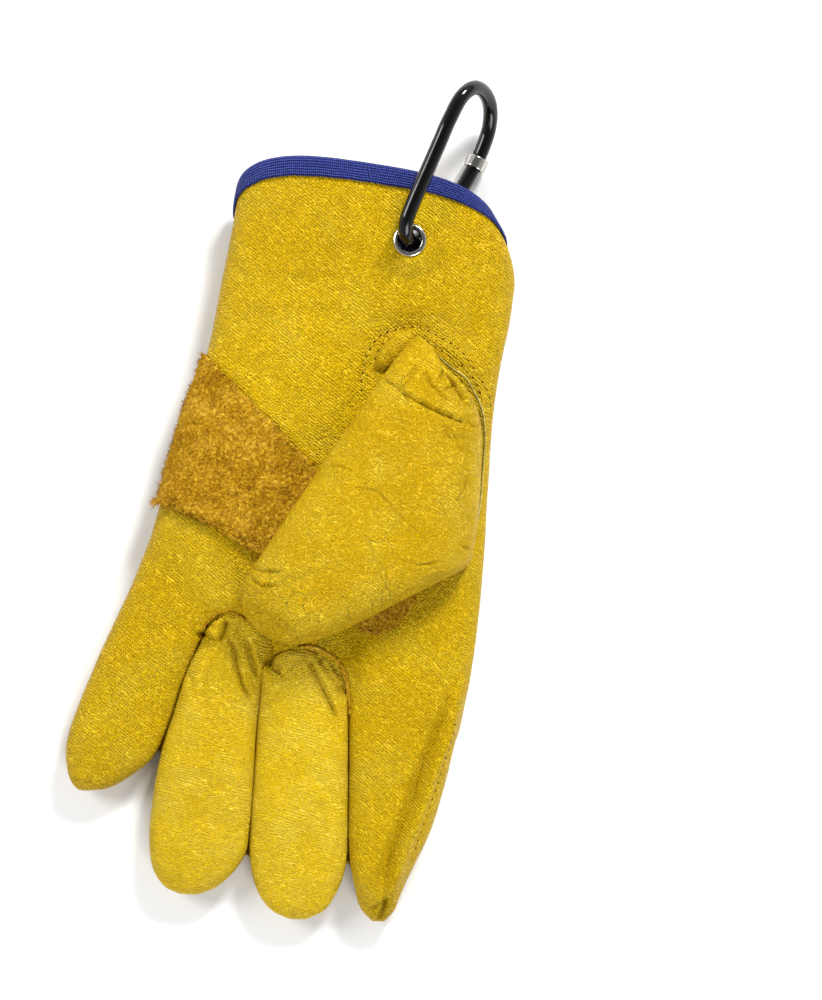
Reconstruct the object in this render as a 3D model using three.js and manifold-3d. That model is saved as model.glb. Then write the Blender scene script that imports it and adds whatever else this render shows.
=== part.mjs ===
// A leather work glove for the left hand, lying on its back with the palm up and the thumb folded across the palm.
// X runs across the hand towards the index finger, Y up the arm, Z up from the surface it lies on. Millimetres.
// Every leather piece is a wall cut from one hollow form: rounded tubes lofted between a left and a right edge.
import * as THREE from "three";
import { mergeVertices } from "three/addons/utils/BufferGeometryUtils.js";
import Module from "manifold-3d";

const wasm = await Module();
wasm.setup();

// Driving sizes
const LEATHER = 1.3; // thickness of every leather wall
const GAP = 0.3; // clearance between neighbouring pieces
const PATCH = 1.2; // thickness of the suede patch
const TAPE = 0.8; // thickness of the binding tape
const TAPE_WIDTH = 5.2; // how far the tape reaches down each side of the cuff's edge
const FOLD_ROOM = 0.9; // room inside the tape's fold, past the leather's edge
const SEAM_LOW = 4.2; // height of the seam between back and palm side, above the surface
const SEAM_HIGH = 9.4; // height of the seam between a finger's side strip and its front
const SIDE_STRIP = 3; // how far a side strip wraps in from a finger's edge
const LAP = 10; // how far the palm panel wraps round under the index side
const ARCH = 16; // how far the palm's rim stands out past the sides of the cuff
const DIP = 4.5; // how far the back's rim falls short of them
const BACK_SHIFT = 6; // how far the back's rim is pushed out towards the little finger's side
const GATHERS = { y: 71, spread: 11, height: 1.8, count: 7 }; // puckers of the elastic across the back
const EYELET = { x: 38.8, y: 103.6, hole: 3.8, barrel: 0.5, flange: 5.7, plate: 0.5, tilt: 0.1 };
const RING_WIRE = 5.1; // thickness of the hanging ring's wire
const RING_LEAN = 0.4; // angle of the ring's plane from upright, in radians
const COLLAR = { at: 0.7, length: 4, wall: 0.8, room: 0.5 }; // sleeve on the ring, at a share of the ring's way round
const THUMB_HOLE = { x: 45, y: 29, across: 14, along: 29 }; // half sizes of the oval under the thumb
const THUMB_FLOOR = 4.5; // height above the palm up to which the pouch is cut open over that oval
const SIDE_REACH = { ring: 0.5, middle: 0.4 }; // how far a finger's front is cut out past the finger's sides
const PATCH_LOW = 5.7; // height of the patch's lower edge on the little finger's side

// Counts that set how fine the facets are
const TRUNK_TURNS_ABOVE = 10;
const TRUNK_TURNS_BELOW = 18;
const FINGER_SIDES = 12;
const THUMB_SIDES = 16;
const RING_STEPS = 36;
const RING_SIDES = 8;
const EYELET_SIDES = 16;

// Each row is a section across the hand: its left and right ends, then the heights of its underside, of its widest
// line and of its top. Rows run from the cuff, or from inside the palm, towards the fingertips.
const columns = (rows) => rows.map(([lx, ly, rx, ry, base, mid, top]) => ({ lx, ly, rx, ry, base, mid, top }));
const TRUNK = columns([
  [-20.5, 119, 68.5, 105.5, 2.4, 9.5, 22],
  [-21.5, 114.5, 72.5, 100, 2, 9.3, 22.5],
  [-23, 106, 74.5, 92, 0.9, 9, 22.5],
  [-25.5, 94, 74, 84, -0.3, 9, 22],
  [-28, 81, 72.5, 74, -0.6, 9, 21.5],
  [-30.5, 69, 70.5, 65, -0.6, 9, 21],
  [-34.5, 57, 68.5, 53.5, -0.6, 9, 21],
  [-39, 45, 67, 41.5, -0.6, 9, 21],
  [-43, 31, 66, 29.5, -0.6, 9, 20.5],
  [-47.5, 14, 65, 14, -0.6, 9, 20],
  [-51.5, 0, 64, -7, -0.6, 8.5, 19],
  [-55, -9.5, 62, -27.5, -0.6, 8, 17.5],
  [-58.5, -16, 59.5, -45.5, -0.6, 7.5, 15.5],
  [-60, -19.5, 56.5, -60.5, 0.8, 7, 12.5],
  [-61, -21, 55, -67, 5, 6.5, 8],
]);
const FINGERS = {
  little: columns([
    [-49, 7, -22.5, -12, 1.5, 8, 15],
    [-57.5, -14, -30.5, -27, 0.4, 7.5, 15],
    [-60.5, -20.5, -34, -33, -0.5, 7, 14.5],
    [-67, -34.5, -40.5, -47.5, -0.5, 7, 14],
    [-73, -48.5, -45, -61.5, -0.5, 7, 13.5],
    [-78, -61, -50.5, -74, -0.5, 7, 13.5],
    [-80.5, -70.5, -59, -81, -0.3, 6.5, 12],
    [-80, -78, -66, -84.5, 1, 6, 10.5],
    [-78.5, -82.5, -72.5, -85.2, 3.5, 6, 8.5],
    [-76.5, -85, -75.5, -85.5, 5.5, 6, 6.5],
  ]),
  ring: columns([
    [-29, -17, -4, -23, 1.5, 8, 14.5],
    [-32.4, -32, -12.5, -38, 0, 7.5, 15],
    [-37.2, -43, -13.8, -48.5, -0.5, 7, 14.5],
    [-41.5, -56.5, -14.5, -60.5, -0.5, 7, 14.5],
    [-46, -70, -15.5, -74, -0.5, 7, 14.5],
    [-49.3, -83, -16.3, -86.5, -0.5, 7, 14.5],
    [-50.7, -95, -17.3, -97.5, -0.5, 7, 14],
    [-51, -104, -19, -106.5, -0.5, 7, 13],
    [-50, -112, -23, -113, 0, 6.5, 11.5],
    [-46.5, -118, -29.5, -118.5, 1.8, 6, 9.5],
    [-41, -121, -36, -121.2, 5, 6, 7],
  ]),
  middle: columns([
    [-9, -24, 16, -29, 1.5, 8, 14.5],
    [-11.5, -40, 16.8, -45, 0, 7.5, 15],
    [-13, -52, 16.8, -53.5, -0.5, 7, 14.8],
    [-14.2, -69, 16.8, -70.5, -0.5, 7, 14.5],
    [-15.3, -86, 16.7, -88, -0.5, 7, 14.5],
    [-16.2, -101.5, 16.5, -103, -0.5, 7, 13.5],
    [-15.8, -111, 15.5, -112, -0.3, 7, 12.5],
    [-13.5, -119.5, 13, -119.5, 0.6, 6.5, 11],
    [-9, -126, 8.5, -126.5, 2.5, 6, 9],
    [-2.5, -129.7, 2, -129.8, 5, 6, 7],
  ]),
  index: columns([
    [21.5, -20, 61, -21.5, 1.5, 8, 14.5],
    [18, -48, 58.5, -48.5, 0, 7.5, 15.5],
    [17.9, -57, 56.5, -58, -0.5, 7, 15.5],
    [17.9, -69, 54, -69.5, -0.5, 7, 15.5],
    [17.9, -83, 50.5, -84, -0.5, 7, 15.5],
    [17.9, -97, 46, -98.5, -0.5, 7, 15.5],
    [18.4, -109, 40, -111, -0.5, 7, 14.5],
    [20, -119, 35.5, -121, -0.3, 6.5, 13],
    [22, -126, 33, -127, 1.5, 6, 10],
    [26, -130.6, 29, -130.8, 5, 6, 7],
  ]),
};

// The thumb lies along a straight fold on its left. Each row gives the distance along that fold from the point where
// it starts, the distances of the two edges from the fold's line, and how far the thumb stands up off the palm.
const THUMB_START = { x: 38, y: 69.7, toTip: [-0.565, -0.825], across: [0.825, -0.565] };
const THUMB = [
  { along: 0.3, left: 1.5, right: 15, rise: 4.5 },
  { along: 3.5, left: 0.6, right: 28.5, rise: 7.5 },
  { along: 11, left: 0, right: 38, rise: 10.5 },
  { along: 23, left: 0, right: 46, rise: 12 },
  { along: 35, left: 0, right: 53, rise: 12.5 },
  { along: 46, left: 0, right: 58.5, rise: 12.5 },
  { along: 53, left: 0, right: 59.5, rise: 12.5 },
  { along: 64, left: 0, right: 54, rise: 12.5 },
  { along: 76, left: 0, right: 47.5, rise: 12.5 },
  { along: 88, left: 0, right: 41, rise: 12 },
  { along: 99, left: 0, right: 34.3, rise: 11.5 },
  { along: 104.5, left: 1.8, right: 30, rise: 10 },
  { along: 108.5, left: 6.5, right: 25.5, rise: 7.5 },
  { along: 110.8, left: 12.5, right: 19.5, rise: 4 },
];

// Outlines in plan, counter-clockwise, as [x, y].
const RING_FRONT_SEAM = [
  [-8.5, -36], [-10, -31.5], [-14, -27], [-20, -23.8], [-25, -23.2], [-29.5, -25.5], [-31.8, -29], [-33.5, -33],
];
const MIDDLE_FRONT_SEAM = [
  [17.3, -52], [15.5, -45.5], [11.5, -40], [6, -36.8], [0, -35.8], [-5.5, -36.8], [-10, -39.5], [-12.5, -43],
];
const PATCH_OUTLINE = [
  [-58, 15.5], [-48, 14.5], [-31, 6.5], [-15.5, -2], [10.5, -18], [22, -29.5], [27, -31], [34.5, -27.5], [40, -20.5],
  [41, -14], [28, 3.5], [6.2, 27], [-33, 66.5], [-52, 74],
];

// Dents of the palm side, as places in plan with their reach each way and their depth.
const DENTS = [
  { x: 42, y: 73, alongX: 20, alongY: 8, depth: 3 }, // hollow above the thumb
  { x: 3, y: 92, alongX: 26, alongY: 14, depth: 1.2 }, // slack leather of the cuff
  { x: -24, y: -27, alongX: 7, alongY: 5, depth: 2 }, // roots of the fingers
  { x: -9, y: -30, alongX: 4, alongY: 8, depth: 2 },
  { x: 17, y: -40, alongX: 4, alongY: 10, depth: 2 },
  { x: 41, y: -68, alongX: 4, alongY: 20, depth: 1.8 }, // fold down the index finger
];

const WALL_POWER = 0.66; // roundness of a section: 1 is an ellipse, less is squarer
const FLOOR_POWER = 0.46; // the same for its underside, which is flattened by what it rests on

// Catmull-Rom through the rows, so that a few rows give a smooth form. Past each end it carries on straight.
function rowAt(rows, t) {
  const i = Math.min(Math.max(Math.floor(t), 0), rows.length - 2);
  const f = t - i;
  const [b, c] = [rows[i], rows[i + 1]];
  const blend = (k) => {
    const a = i > 0 ? rows[i - 1][k] : 2 * b[k] - c[k];
    const d = i + 2 < rows.length ? rows[i + 2][k] : 2 * c[k] - b[k];
    const bend = (2 * a - 5 * b[k] + 4 * c[k] - d) * f + (3 * b[k] - a - 3 * c[k] + d) * f * f;
    return b[k] + 0.5 * f * (c[k] - a + bend);
  };
  return Object.fromEntries(Object.keys(b).map((k) => [k, blend(k)]));
}

const power = (value, exponent) => Math.sign(value) * Math.abs(value) ** exponent;
const bump = (value, spread) => Math.exp(-((value / spread) ** 2));

const dentAt = (x, y) =>
  DENTS.reduce((sum, d) => sum + d.depth * bump(x - d.x, d.alongX) * bump(y - d.y, d.alongY), 0);

// A point of a lofted form. t counts rows and turn goes once round the section, from the right end over the top.
function loftPoint(rows, t, turn) {
  const row = rowAt(rows, t);
  const [c, s] = [Math.cos(turn), Math.sin(turn)];
  const side = power(c, WALL_POWER);
  const height = s > 0 ? (row.top - row.mid) * power(s, WALL_POWER) : (row.mid - row.base) * power(s, FLOOR_POWER);
  const x = (row.lx + row.rx) / 2 + (side * (row.rx - row.lx)) / 2;
  const y = (row.ly + row.ry) / 2 + (side * (row.ry - row.ly)) / 2;
  const dented = s > 0 ? dentAt(x, y) * s : 0;
  return new THREE.Vector3(x, y, Math.max(row.mid + height - dented, 0));
}

// The hand's own form adds the uneven rim of the cuff and the puckers of the elastic across the back.
function trunkPoint(t, turn) {
  const point = loftPoint(TRUNK, t, turn);
  const s = Math.sin(turn);
  const nearRim = Math.max(0, 1 - t / 4) ** 1.3;
  point.y += nearRim * (s > 0 ? ARCH * s ** 0.9 : DIP * s);
  if (s < 0 && Math.cos(turn) < 0) point.x -= nearRim * BACK_SHIFT * s * Math.cos(turn);
  if (s < 0) {
    const wave = 0.5 - 0.5 * Math.cos((point.x + 25) * ((2 * Math.PI * GATHERS.count) / 95));
    point.z += GATHERS.height * wave * bump(point.y - GATHERS.y, GATHERS.spread) * (-s) ** 0.5;
  }
  return point;
}

const fingerPoint = (name) => (t, turn) => loftPoint(FINGERS[name], t, turn);

// Height of the palm's upper face above a place in plan, found between the two rows that the place lies between.
function palmHeight(x, y) {
  let [low, high] = [0, TRUNK.length - 1];
  for (let step = 0; step < 24; step++) {
    const t = (low + high) / 2;
    const row = rowAt(TRUNK, t);
    const past = (x - row.lx) * (row.ry - row.ly) - (y - row.ly) * (row.rx - row.lx);
    if (past > 0) low = t;
    else high = t;
  }
  const row = rowAt(TRUNK, low);
  const side = Math.min(1, Math.abs((2 * (x - row.lx)) / (row.rx - row.lx) - 1));
  const upright = Math.max(0, 1 - side ** (2 / WALL_POWER)) ** 0.5;
  return row.mid + (row.top - row.mid) * upright ** WALL_POWER - dentAt(x, y) * upright;
}

// The thumb's pouch: its underside follows the palm, closer where it is sewn in, higher where the patch lies below.
function thumbPoint(t, turn) {
  const row = rowAt(THUMB, t);
  const [c, s] = [Math.cos(turn), Math.sin(turn)];
  const off = (row.left + row.right) / 2 + (power(c, WALL_POWER) * (row.right - row.left)) / 2;
  const x = THUMB_START.x + row.along * THUMB_START.toTip[0] + off * THUMB_START.across[0];
  const y = THUMB_START.y + row.along * THUMB_START.toTip[1] + off * THUMB_START.across[1];
  const clear = 0.6 + 1.5 * THREE.MathUtils.smoothstep(row.along - 0.4 * off, 6, 26);
  const waist = 0.32 * row.rise;
  const height = s > 0 ? (row.rise - waist) * power(s, 0.8) : waist * power(s, FLOOR_POWER);
  return new THREE.Vector3(x, y, palmHeight(x, y) + clear + waist + height);
}

// The outward direction of a form at t, turn.
function outward(form, t, turn, last) {
  const e = 0.02;
  const alongForm = form(Math.min(t + e, last), turn).sub(form(Math.max(t - e, 0), turn));
  const round = form(t, turn + e).sub(form(t, turn - e));
  return round.cross(alongForm).normalize();
}

// The rows of a form as rings of points, moved outwards by grow, or inwards where it is negative.
function rings(form, last, stations, turns, grow) {
  return stations.map((t) =>
    turns.map((turn) => {
      const inside = THREE.MathUtils.clamp(t, 0.05, last - 0.08);
      return form(t, turn).addScaledVector(outward(form, inside, turn, last), grow);
    }),
  );
}

// A closed surface over rings of points, with a fan over each end.
function skin(loops) {
  const sides = loops[0].length;
  const centre = (loop) => loop.reduce((sum, p) => sum.add(p), new THREE.Vector3()).divideScalar(loop.length);
  const points = [...loops.flat(), centre(loops[0]), centre(loops[loops.length - 1])];
  const [firstEnd, lastEnd] = [points.length - 2, points.length - 1];
  const index = [];
  for (let i = 0; i < loops.length - 1; i++)
    for (let j = 0; j < sides; j++) {
      const [a, b] = [i * sides + j, i * sides + ((j + 1) % sides)];
      index.push(a, b, b + sides, a, b + sides, a + sides);
    }
  const lastRing = (loops.length - 1) * sides;
  for (let j = 0; j < sides; j++) {
    index.push(firstEnd, (j + 1) % sides, j);
    index.push(lastEnd, lastRing + j, lastRing + ((j + 1) % sides));
  }
  const geometry = new THREE.BufferGeometry().setFromPoints(points);
  geometry.setIndex(index);
  return geometry;
}

// A closed band of rings, joined end to end.
function band(loops) {
  const sides = loops[0].length;
  const index = [];
  loops.forEach((_, i) => {
    const next = ((i + 1) % loops.length) * sides;
    for (let j = 0; j < sides; j++) {
      const k = (j + 1) % sides;
      index.push(i * sides + j, i * sides + k, next + k, i * sides + j, next + k, next + j);
    }
  });
  const geometry = new THREE.BufferGeometry().setFromPoints(loops.flat());
  geometry.setIndex(index);
  return solid(geometry);
}

// A geometry as a solid that can be cut and joined, and back again.
function solid(geometry) {
  const bare = geometry.clone();
  for (const name of Object.keys(bare.attributes)) if (name !== "position") bare.deleteAttribute(name);
  const merged = mergeVertices(bare, 1e-4);
  return new wasm.Manifold(
    new wasm.Mesh({
      numProp: 3,
      vertProperties: merged.attributes.position.array,
      triVerts: new Uint32Array(merged.index.array),
    }),
  );
}
function geometryOf(made) {
  const mesh = made.getMesh();
  const geometry = new THREE.BufferGeometry();
  geometry.setAttribute("position", new THREE.BufferAttribute(mesh.vertProperties, mesh.numProp));
  geometry.setIndex(new THREE.BufferAttribute(mesh.triVerts, 1));
  const flat = geometry.toNonIndexed();
  flat.computeVertexNormals();
  return flat;
}

const evenTurns = (count) => Array.from({ length: count }, (_, i) => (i / count) * 2 * Math.PI);
// Turns for the hand: few over the smooth palm side, more across the gathered back.
const halfTurn = (count, start) => Array.from({ length: count }, (_, i) => start + (i / count) * Math.PI);
const TRUNK_TURNS = [...halfTurn(TRUNK_TURNS_ABOVE, 0), ...halfTurn(TRUNK_TURNS_BELOW, Math.PI)];
const TRUNK_STATIONS = [0, 1, 2, 3, 4, 5, 6, 7, 8.5, 10, 11, 12, 13, 14];
const PAST_RIM = 6; // how far the cuff's hollow is drawn out past the rim, so that it cuts the cuff open

const trunkRings = (stations, grow) => rings(trunkPoint, TRUNK.length - 1, stations, TRUNK_TURNS, grow);

// The direction from each point of the rim along the wall, square to the rim and out of the cuff.
const rim = trunkRings([0], 0)[0];
const rimNormals = TRUNK_TURNS.map((turn) => outward(trunkPoint, 0.05, turn, TRUNK.length - 1));
const rimAway = rim.map((_, j) => {
  const tangent = rim[(j + 1) % rim.length].clone().sub(rim[(j + rim.length - 1) % rim.length]).normalize();
  const away = tangent.cross(rimNormals[j]).normalize();
  return away.y < 0 ? away.negate() : away;
});
const pushed = (loop, distance) => loop.map((p, j) => p.clone().addScaledVector(rimAway[j], distance));

// The hand's form without fingers, grown or shrunk and drawn out past the rim. Its cuff end is square to the wall, or,
// for a hollow, closed further out.
function trunkSolid(grow, past, hollow) {
  const loops = trunkRings(TRUNK_STATIONS, grow);
  if (past) loops.unshift(pushed(loops[0], past));
  if (!hollow) loops.unshift(pushed(trunkRings([0], -LEATHER - GAP - TAPE - 0.6)[0], past));
  return solid(skin(loops));
}

// The hand with its four fingers as one solid, grown or shrunk.
function handSolid(grow, hollow) {
  let hand = trunkSolid(grow, hollow ? PAST_RIM : 0, hollow);
  for (const [name, rows] of Object.entries(FINGERS)) {
    const stations = rows.map((_, i) => i).filter((i) => i !== 4);
    const finger = rings(fingerPoint(name), rows.length - 1, stations, evenTurns(FINGER_SIDES), grow);
    hand = hand.add(solid(skin(finger)));
  }
  return hand;
}

// An upright prism over an outline in plan, between two heights.
function prism(outline, low, high) {
  const shape = new THREE.Shape(outline.map(([x, y]) => new THREE.Vector2(x, y)));
  return solid(new THREE.ExtrudeGeometry(shape, { depth: high - low, bevelEnabled: false }).translate(0, 0, low));
}

// Moves each point of a counter-clockwise outline outwards by a distance.
function growOutline(outline, distance) {
  return outline.map((point, i) => {
    const before = outline[(i + outline.length - 1) % outline.length];
    const after = outline[(i + 1) % outline.length];
    const normal = (a, b) => new THREE.Vector2(b[1] - a[1], a[0] - b[0]).normalize();
    const [n1, n2] = [normal(before, point), normal(point, after)];
    const out = n1.clone().add(n2).normalize();
    out.multiplyScalar(distance / Math.max(0.5, out.dot(n1)));
    return [point[0] + out.x, point[1] + out.y];
  });
}

// A point on a row, a distance in from one of its ends, in plan.
function inFrom(row, end, distance) {
  const [lx, ly, rx, ry] = [row.lx, row.ly, row.rx, row.ry];
  const width = Math.hypot(rx - lx, ry - ly);
  const share = Math.min(distance / width, 0.5);
  return end === "left"
    ? [lx + (rx - lx) * share, ly + (ry - ly) * share]
    : [rx - (rx - lx) * share, ry - (ry - ly) * share];
}

// The strip between two fingers covers the facing sides of both, from the fold between them to near the tips.
function stripOutline(leftFinger, rightFinger) {
  const down = FINGERS[leftFinger].slice(1, -2).map((row) => inFrom(row, "right", SIDE_STRIP));
  const up = FINGERS[rightFinger].slice(1, -2).map((row) => inFrom(row, "left", SIDE_STRIP));
  return [...down, ...up.reverse()];
}

// The back panel covers all but a lap along the index side, where the palm panel comes round.
function backOutline() {
  const hand = TRUNK.slice(0, -3).map((row) => inFrom(row, "right", LAP));
  const finger = FINGERS.index.slice(1, -1).map((row) => inFrom(row, "right", LAP * 0.8));
  const tip = FINGERS.index[FINGERS.index.length - 1];
  return [[tip.lx, tip.ly - 8], ...finger.reverse(), ...hand.reverse(), [hand[hand.length - 1][0], 150], [-110, 150],
    [-110, -140]];
}

// The front of a middle finger runs from the seam at its root to past its tip, inside the gaps on both sides.
function frontOutline(name, seam) {
  const rows = FINGERS[name].slice(2);
  const leftEdge = rows.map((row) => [row.lx - SIDE_REACH[name], row.ly]);
  const rightEdge = rows.map((row) => [row.rx + SIDE_REACH[name], row.ry]);
  const tip = rows[rows.length - 1];
  return [...seam, ...leftEdge, [tip.lx - 6, tip.ly - 4], [tip.rx + 6, tip.ry - 4], ...rightEdge.reverse()];
}

function oval({ x, y, across, along }, grow, count) {
  return evenTurns(count).map((a) => [x + (across + grow) * Math.cos(a), y + (along + grow) * Math.sin(a)]);
}

// The largest body of a cut solid, without the offcuts that are thinner than a seam.
const mainBody = (made) => made.decompose().sort((a, b) => b.volume() - a.volume())[0];

const HIGH = 60; // above everything
const shell = handSolid(0, false).subtract(handSolid(-LEATHER, true));

const pieces = {}; // name of each piece to its solid

// Side strips between the fingers
const strips = {
  side_strip_little_ring: stripOutline("little", "ring"),
  side_strip_ring_middle: stripOutline("ring", "middle"),
  side_strip_middle_index: stripOutline("middle", "index"),
};
let rest = shell;
for (const [name, outline] of Object.entries(strips)) {
  pieces[name] = shell.intersect(prism(outline, SEAM_LOW, SEAM_HIGH));
  rest = rest.subtract(prism(growOutline(outline, GAP), SEAM_LOW - GAP, SEAM_HIGH + GAP));
}

// Back panel, below the low seam
pieces.back_panel = rest.intersect(prism(backOutline(), -10, SEAM_LOW - GAP));
rest = rest.subtract(prism(growOutline(backOutline(), GAP), -10, SEAM_LOW));

// Fronts of the ring and middle fingers
const fronts = {
  ring_finger_front: frontOutline("ring", RING_FRONT_SEAM),
  middle_finger_front: frontOutline("middle", MIDDLE_FRONT_SEAM),
};
for (const [name, outline] of Object.entries(fronts)) {
  pieces[name] = rest.intersect(prism(outline, SEAM_LOW, HIGH));
  rest = rest.subtract(prism(growOutline(outline, GAP), SEAM_LOW - GAP, HIGH));
}

// Palm panel with the oval under the thumb and the hole for the eyelet
const RING_ALONG = new THREE.Vector3(0.37, 0.929, 0).normalize();
const RING_ASIDE = new THREE.Vector3(RING_ALONG.y, -RING_ALONG.x, 0);
function placeOnPalm({ x, y, tilt }) {
  let nearest = { away: Infinity };
  for (let i = 0; i <= 120; i++)
    for (let j = 1; j < 120; j++) {
      const [t, turn] = [(i / 120) * 3, (j / 120) * Math.PI];
      const point = trunkPoint(t, turn);
      const away = Math.hypot(point.x - x, point.y - y);
      if (away < nearest.away) nearest = { away, point, normal: outward(trunkPoint, t, turn, TRUNK.length - 1) };
    }
  const axis = nearest.normal.clone().addScaledVector(RING_ASIDE, -tilt).normalize();
  return { centre: nearest.point.addScaledVector(nearest.normal, -LEATHER / 2), axis };
}
const eyeletPlace = placeOnPalm(EYELET);
const eyeletTurn = new THREE.Quaternion().setFromUnitVectors(new THREE.Vector3(0, 0, 1), eyeletPlace.axis);

// A turned solid standing on the eyelet's axis, from its profile of [radius, height] pairs.
function turned(profile) {
  const points = profile.map(([r, z]) => new THREE.Vector2(r, z));
  const geometry = new THREE.LatheGeometry(points, EYELET_SIDES).rotateX(Math.PI / 2).applyQuaternion(eyeletTurn);
  return solid(geometry.translate(...eyeletPlace.centre.toArray()));
}
const disc = (radius, low, high) => turned([[0, low], [radius, low], [radius, high], [0, high]]);
const FACE = LEATHER / 2 + GAP; // height of the flange's underside
const LIP = FACE + EYELET.plate;
const eyeletRoom = disc(EYELET.hole + EYELET.barrel + 0.4, -8, 8)
  .add(disc(EYELET.flange + 0.5, FACE - GAP, LIP + 4))
  .add(disc(EYELET.flange + 0.5, -LIP - 4, GAP - FACE));
pieces.palm_panel = rest.subtract(prism(oval(THUMB_HOLE, 0, 24), 12, HIGH)).subtract(eyeletRoom);

// Suede patch, laid over the palm from the little finger's side
const patchLayer = handSolid(GAP + PATCH, false).subtract(handSolid(GAP, true));
pieces.palm_patch = patchLayer.intersect(prism(PATCH_OUTLINE, PATCH_LOW, HIGH));

// Thumb: a pouch with an oval opening below
function thumbSolid(grow) {
  const stations = THUMB.map((_, i) => i).filter((i) => i !== 4 && i !== 8);
  return solid(skin(rings(thumbPoint, THUMB.length - 1, stations, evenTurns(THUMB_SIDES), grow)));
}
const pouch = thumbSolid(0).subtract(thumbSolid(-LEATHER));
const thumbFloor = palmHeight(THUMB_HOLE.x, THUMB_HOLE.y) + THUMB_FLOOR;
pieces.thumb = pouch.subtract(prism(oval(THUMB_HOLE, -1, 28), 0, thumbFloor));

// Binding: a folded tape round the cuff's edge. The cutter keeps what lies within the tape's width of the rim.
function rimCutter() {
  const edge = pushed(rim, -TAPE_WIDTH);
  const inside = edge.map((p, j) => p.clone().addScaledVector(rimNormals[j], -5));
  const outside = edge.map((p, j) => p.clone().addScaledVector(rimNormals[j], 5));
  const far = outside.map((p) => p.clone().add(new THREE.Vector3(0, 60, 0)));
  return solid(skin([far, outside, inside]));
}
function bindingSolid() {
  const around = trunkSolid(GAP + TAPE, FOLD_ROOM + TAPE, false);
  const within = trunkSolid(-LEATHER - GAP - TAPE, PAST_RIM, true);
  const wall = trunkSolid(GAP, FOLD_ROOM, false).subtract(trunkSolid(-LEATHER - GAP, PAST_RIM, true));
  return around.subtract(within).subtract(wall).intersect(rimCutter());
}
pieces.cuff_binding = bindingSolid();

// Eyelet: a turned barrel with a rounded flange on each side of the leather
const barrelEdge = EYELET.hole + EYELET.barrel;
pieces.eyelet = turned([
  [EYELET.hole, -LIP + 0.3], [EYELET.hole + 0.4, -LIP], [EYELET.flange - 0.5, -LIP], [EYELET.flange - 0.4, -FACE],
  [barrelEdge, -FACE], [barrelEdge, FACE], [EYELET.flange, FACE], [EYELET.flange - 0.6, LIP],
  [EYELET.hole + 0.5, LIP], [EYELET.hole, LIP - 0.4], [EYELET.hole, -LIP + 0.3],
]);

// Hanging ring: a wire bent to a D, leaning over the cuff's edge with its wide end towards the surface. Each point is
// the distance along its straight side and the distance across it; the first point is the one inside the eyelet.
const RING_SHAPE = [
  [-6, 8.5], [-4.6, 3.9], [-1, 0.8], [6, 0], [16, 0], [26, 0], [36, 0], [44.5, 2], [49.2, 7.5], [50.3, 15.5],
  [47.5, 23], [41, 27.6], [33, 27.6], [24, 25.3], [14, 22.3], [5, 19.4], [-1, 16.6], [-4.6, 12.9],
];
function ringPath() {
  const down = new THREE.Vector3().crossVectors(RING_ALONG, RING_ASIDE);
  const across = RING_ASIDE.clone().multiplyScalar(Math.sin(RING_LEAN)).addScaledVector(down, Math.cos(RING_LEAN));
  const [a0, b0] = RING_SHAPE[0];
  const points = RING_SHAPE.map(([a, b]) =>
    eyeletPlace.centre.clone().addScaledVector(RING_ALONG, a - a0).addScaledVector(across, b - b0));
  return new THREE.CatmullRomCurve3(points, true, "centripetal");
}
function ringSolid() {
  const path = ringPath();
  const frames = path.computeFrenetFrames(RING_STEPS, true);
  const loops = Array.from({ length: RING_STEPS }, (_, i) => {
    const centre = path.getPointAt(i / RING_STEPS);
    return evenTurns(RING_SIDES).map((a) =>
      centre.clone()
        .addScaledVector(frames.normals[i], (Math.cos(a) * RING_WIRE) / 2)
        .addScaledVector(frames.binormals[i], (Math.sin(a) * RING_WIRE) / 2),
    );
  });
  return band(loops);
}
pieces.hang_ring = ringSolid();

// Collar: a short bright sleeve round the ring's wire, on its leaning leg
function collarSolid() {
  const centre = ringPath().getPointAt(COLLAR.at);
  const tangent = ringPath().getTangentAt(COLLAR.at);
  const turn = new THREE.Quaternion().setFromUnitVectors(new THREE.Vector3(0, 0, 1), tangent);
  const inner = RING_WIRE / 2 + COLLAR.room;
  const [outer, half] = [inner + COLLAR.wall, COLLAR.length / 2];
  const profile = [[inner, -half], [outer, -half], [outer, half], [inner, half], [inner, -half]];
  const points = profile.map(([r, z]) => new THREE.Vector2(r, z));
  const geometry = new THREE.LatheGeometry(points, EYELET_SIDES).rotateX(Math.PI / 2);
  return solid(geometry.applyQuaternion(turn).translate(...centre.toArray()));
}
pieces.ring_collar = collarSolid();

// Finishes
const finish = (color, roughness, metalness) => new THREE.MeshStandardMaterial({ color, roughness, metalness });
const GRAIN = finish(0xdcb414, 0.5, 0);
const LIGHT_GRAIN = finish(0xe2c23a, 0.5, 0);
const SUEDE = finish(0xc98f1c, 0.95, 0);
const BLUE_TAPE = finish(0x1c2f94, 0.7, 0);
const NICKEL = finish(0xd9dad8, 0.2, 1);
const BLACK_ENAMEL = finish(0x0b0b0c, 0.15, 0);
const FINISHES = {
  ring_finger_front: LIGHT_GRAIN,
  middle_finger_front: LIGHT_GRAIN,
  palm_patch: SUEDE,
  cuff_binding: BLUE_TAPE,
  eyelet: NICKEL,
  ring_collar: NICKEL,
  hang_ring: BLACK_ENAMEL,
};

// The glove, its footprint centred on the origin and its lowest face at zero
const glove = new THREE.Group();
const bounds = new THREE.Box3();
for (const [name, made] of Object.entries(pieces)) {
  const geometry = geometryOf(mainBody(made));
  geometry.computeBoundingBox();
  bounds.union(geometry.boundingBox);
  const mesh = new THREE.Mesh(geometry, FINISHES[name] ?? GRAIN);
  mesh.name = name;
  glove.add(mesh);
}
const middle = bounds.getCenter(new THREE.Vector3());
glove.position.set(-middle.x, -middle.y, -bounds.min.z);

export default glove;
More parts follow.
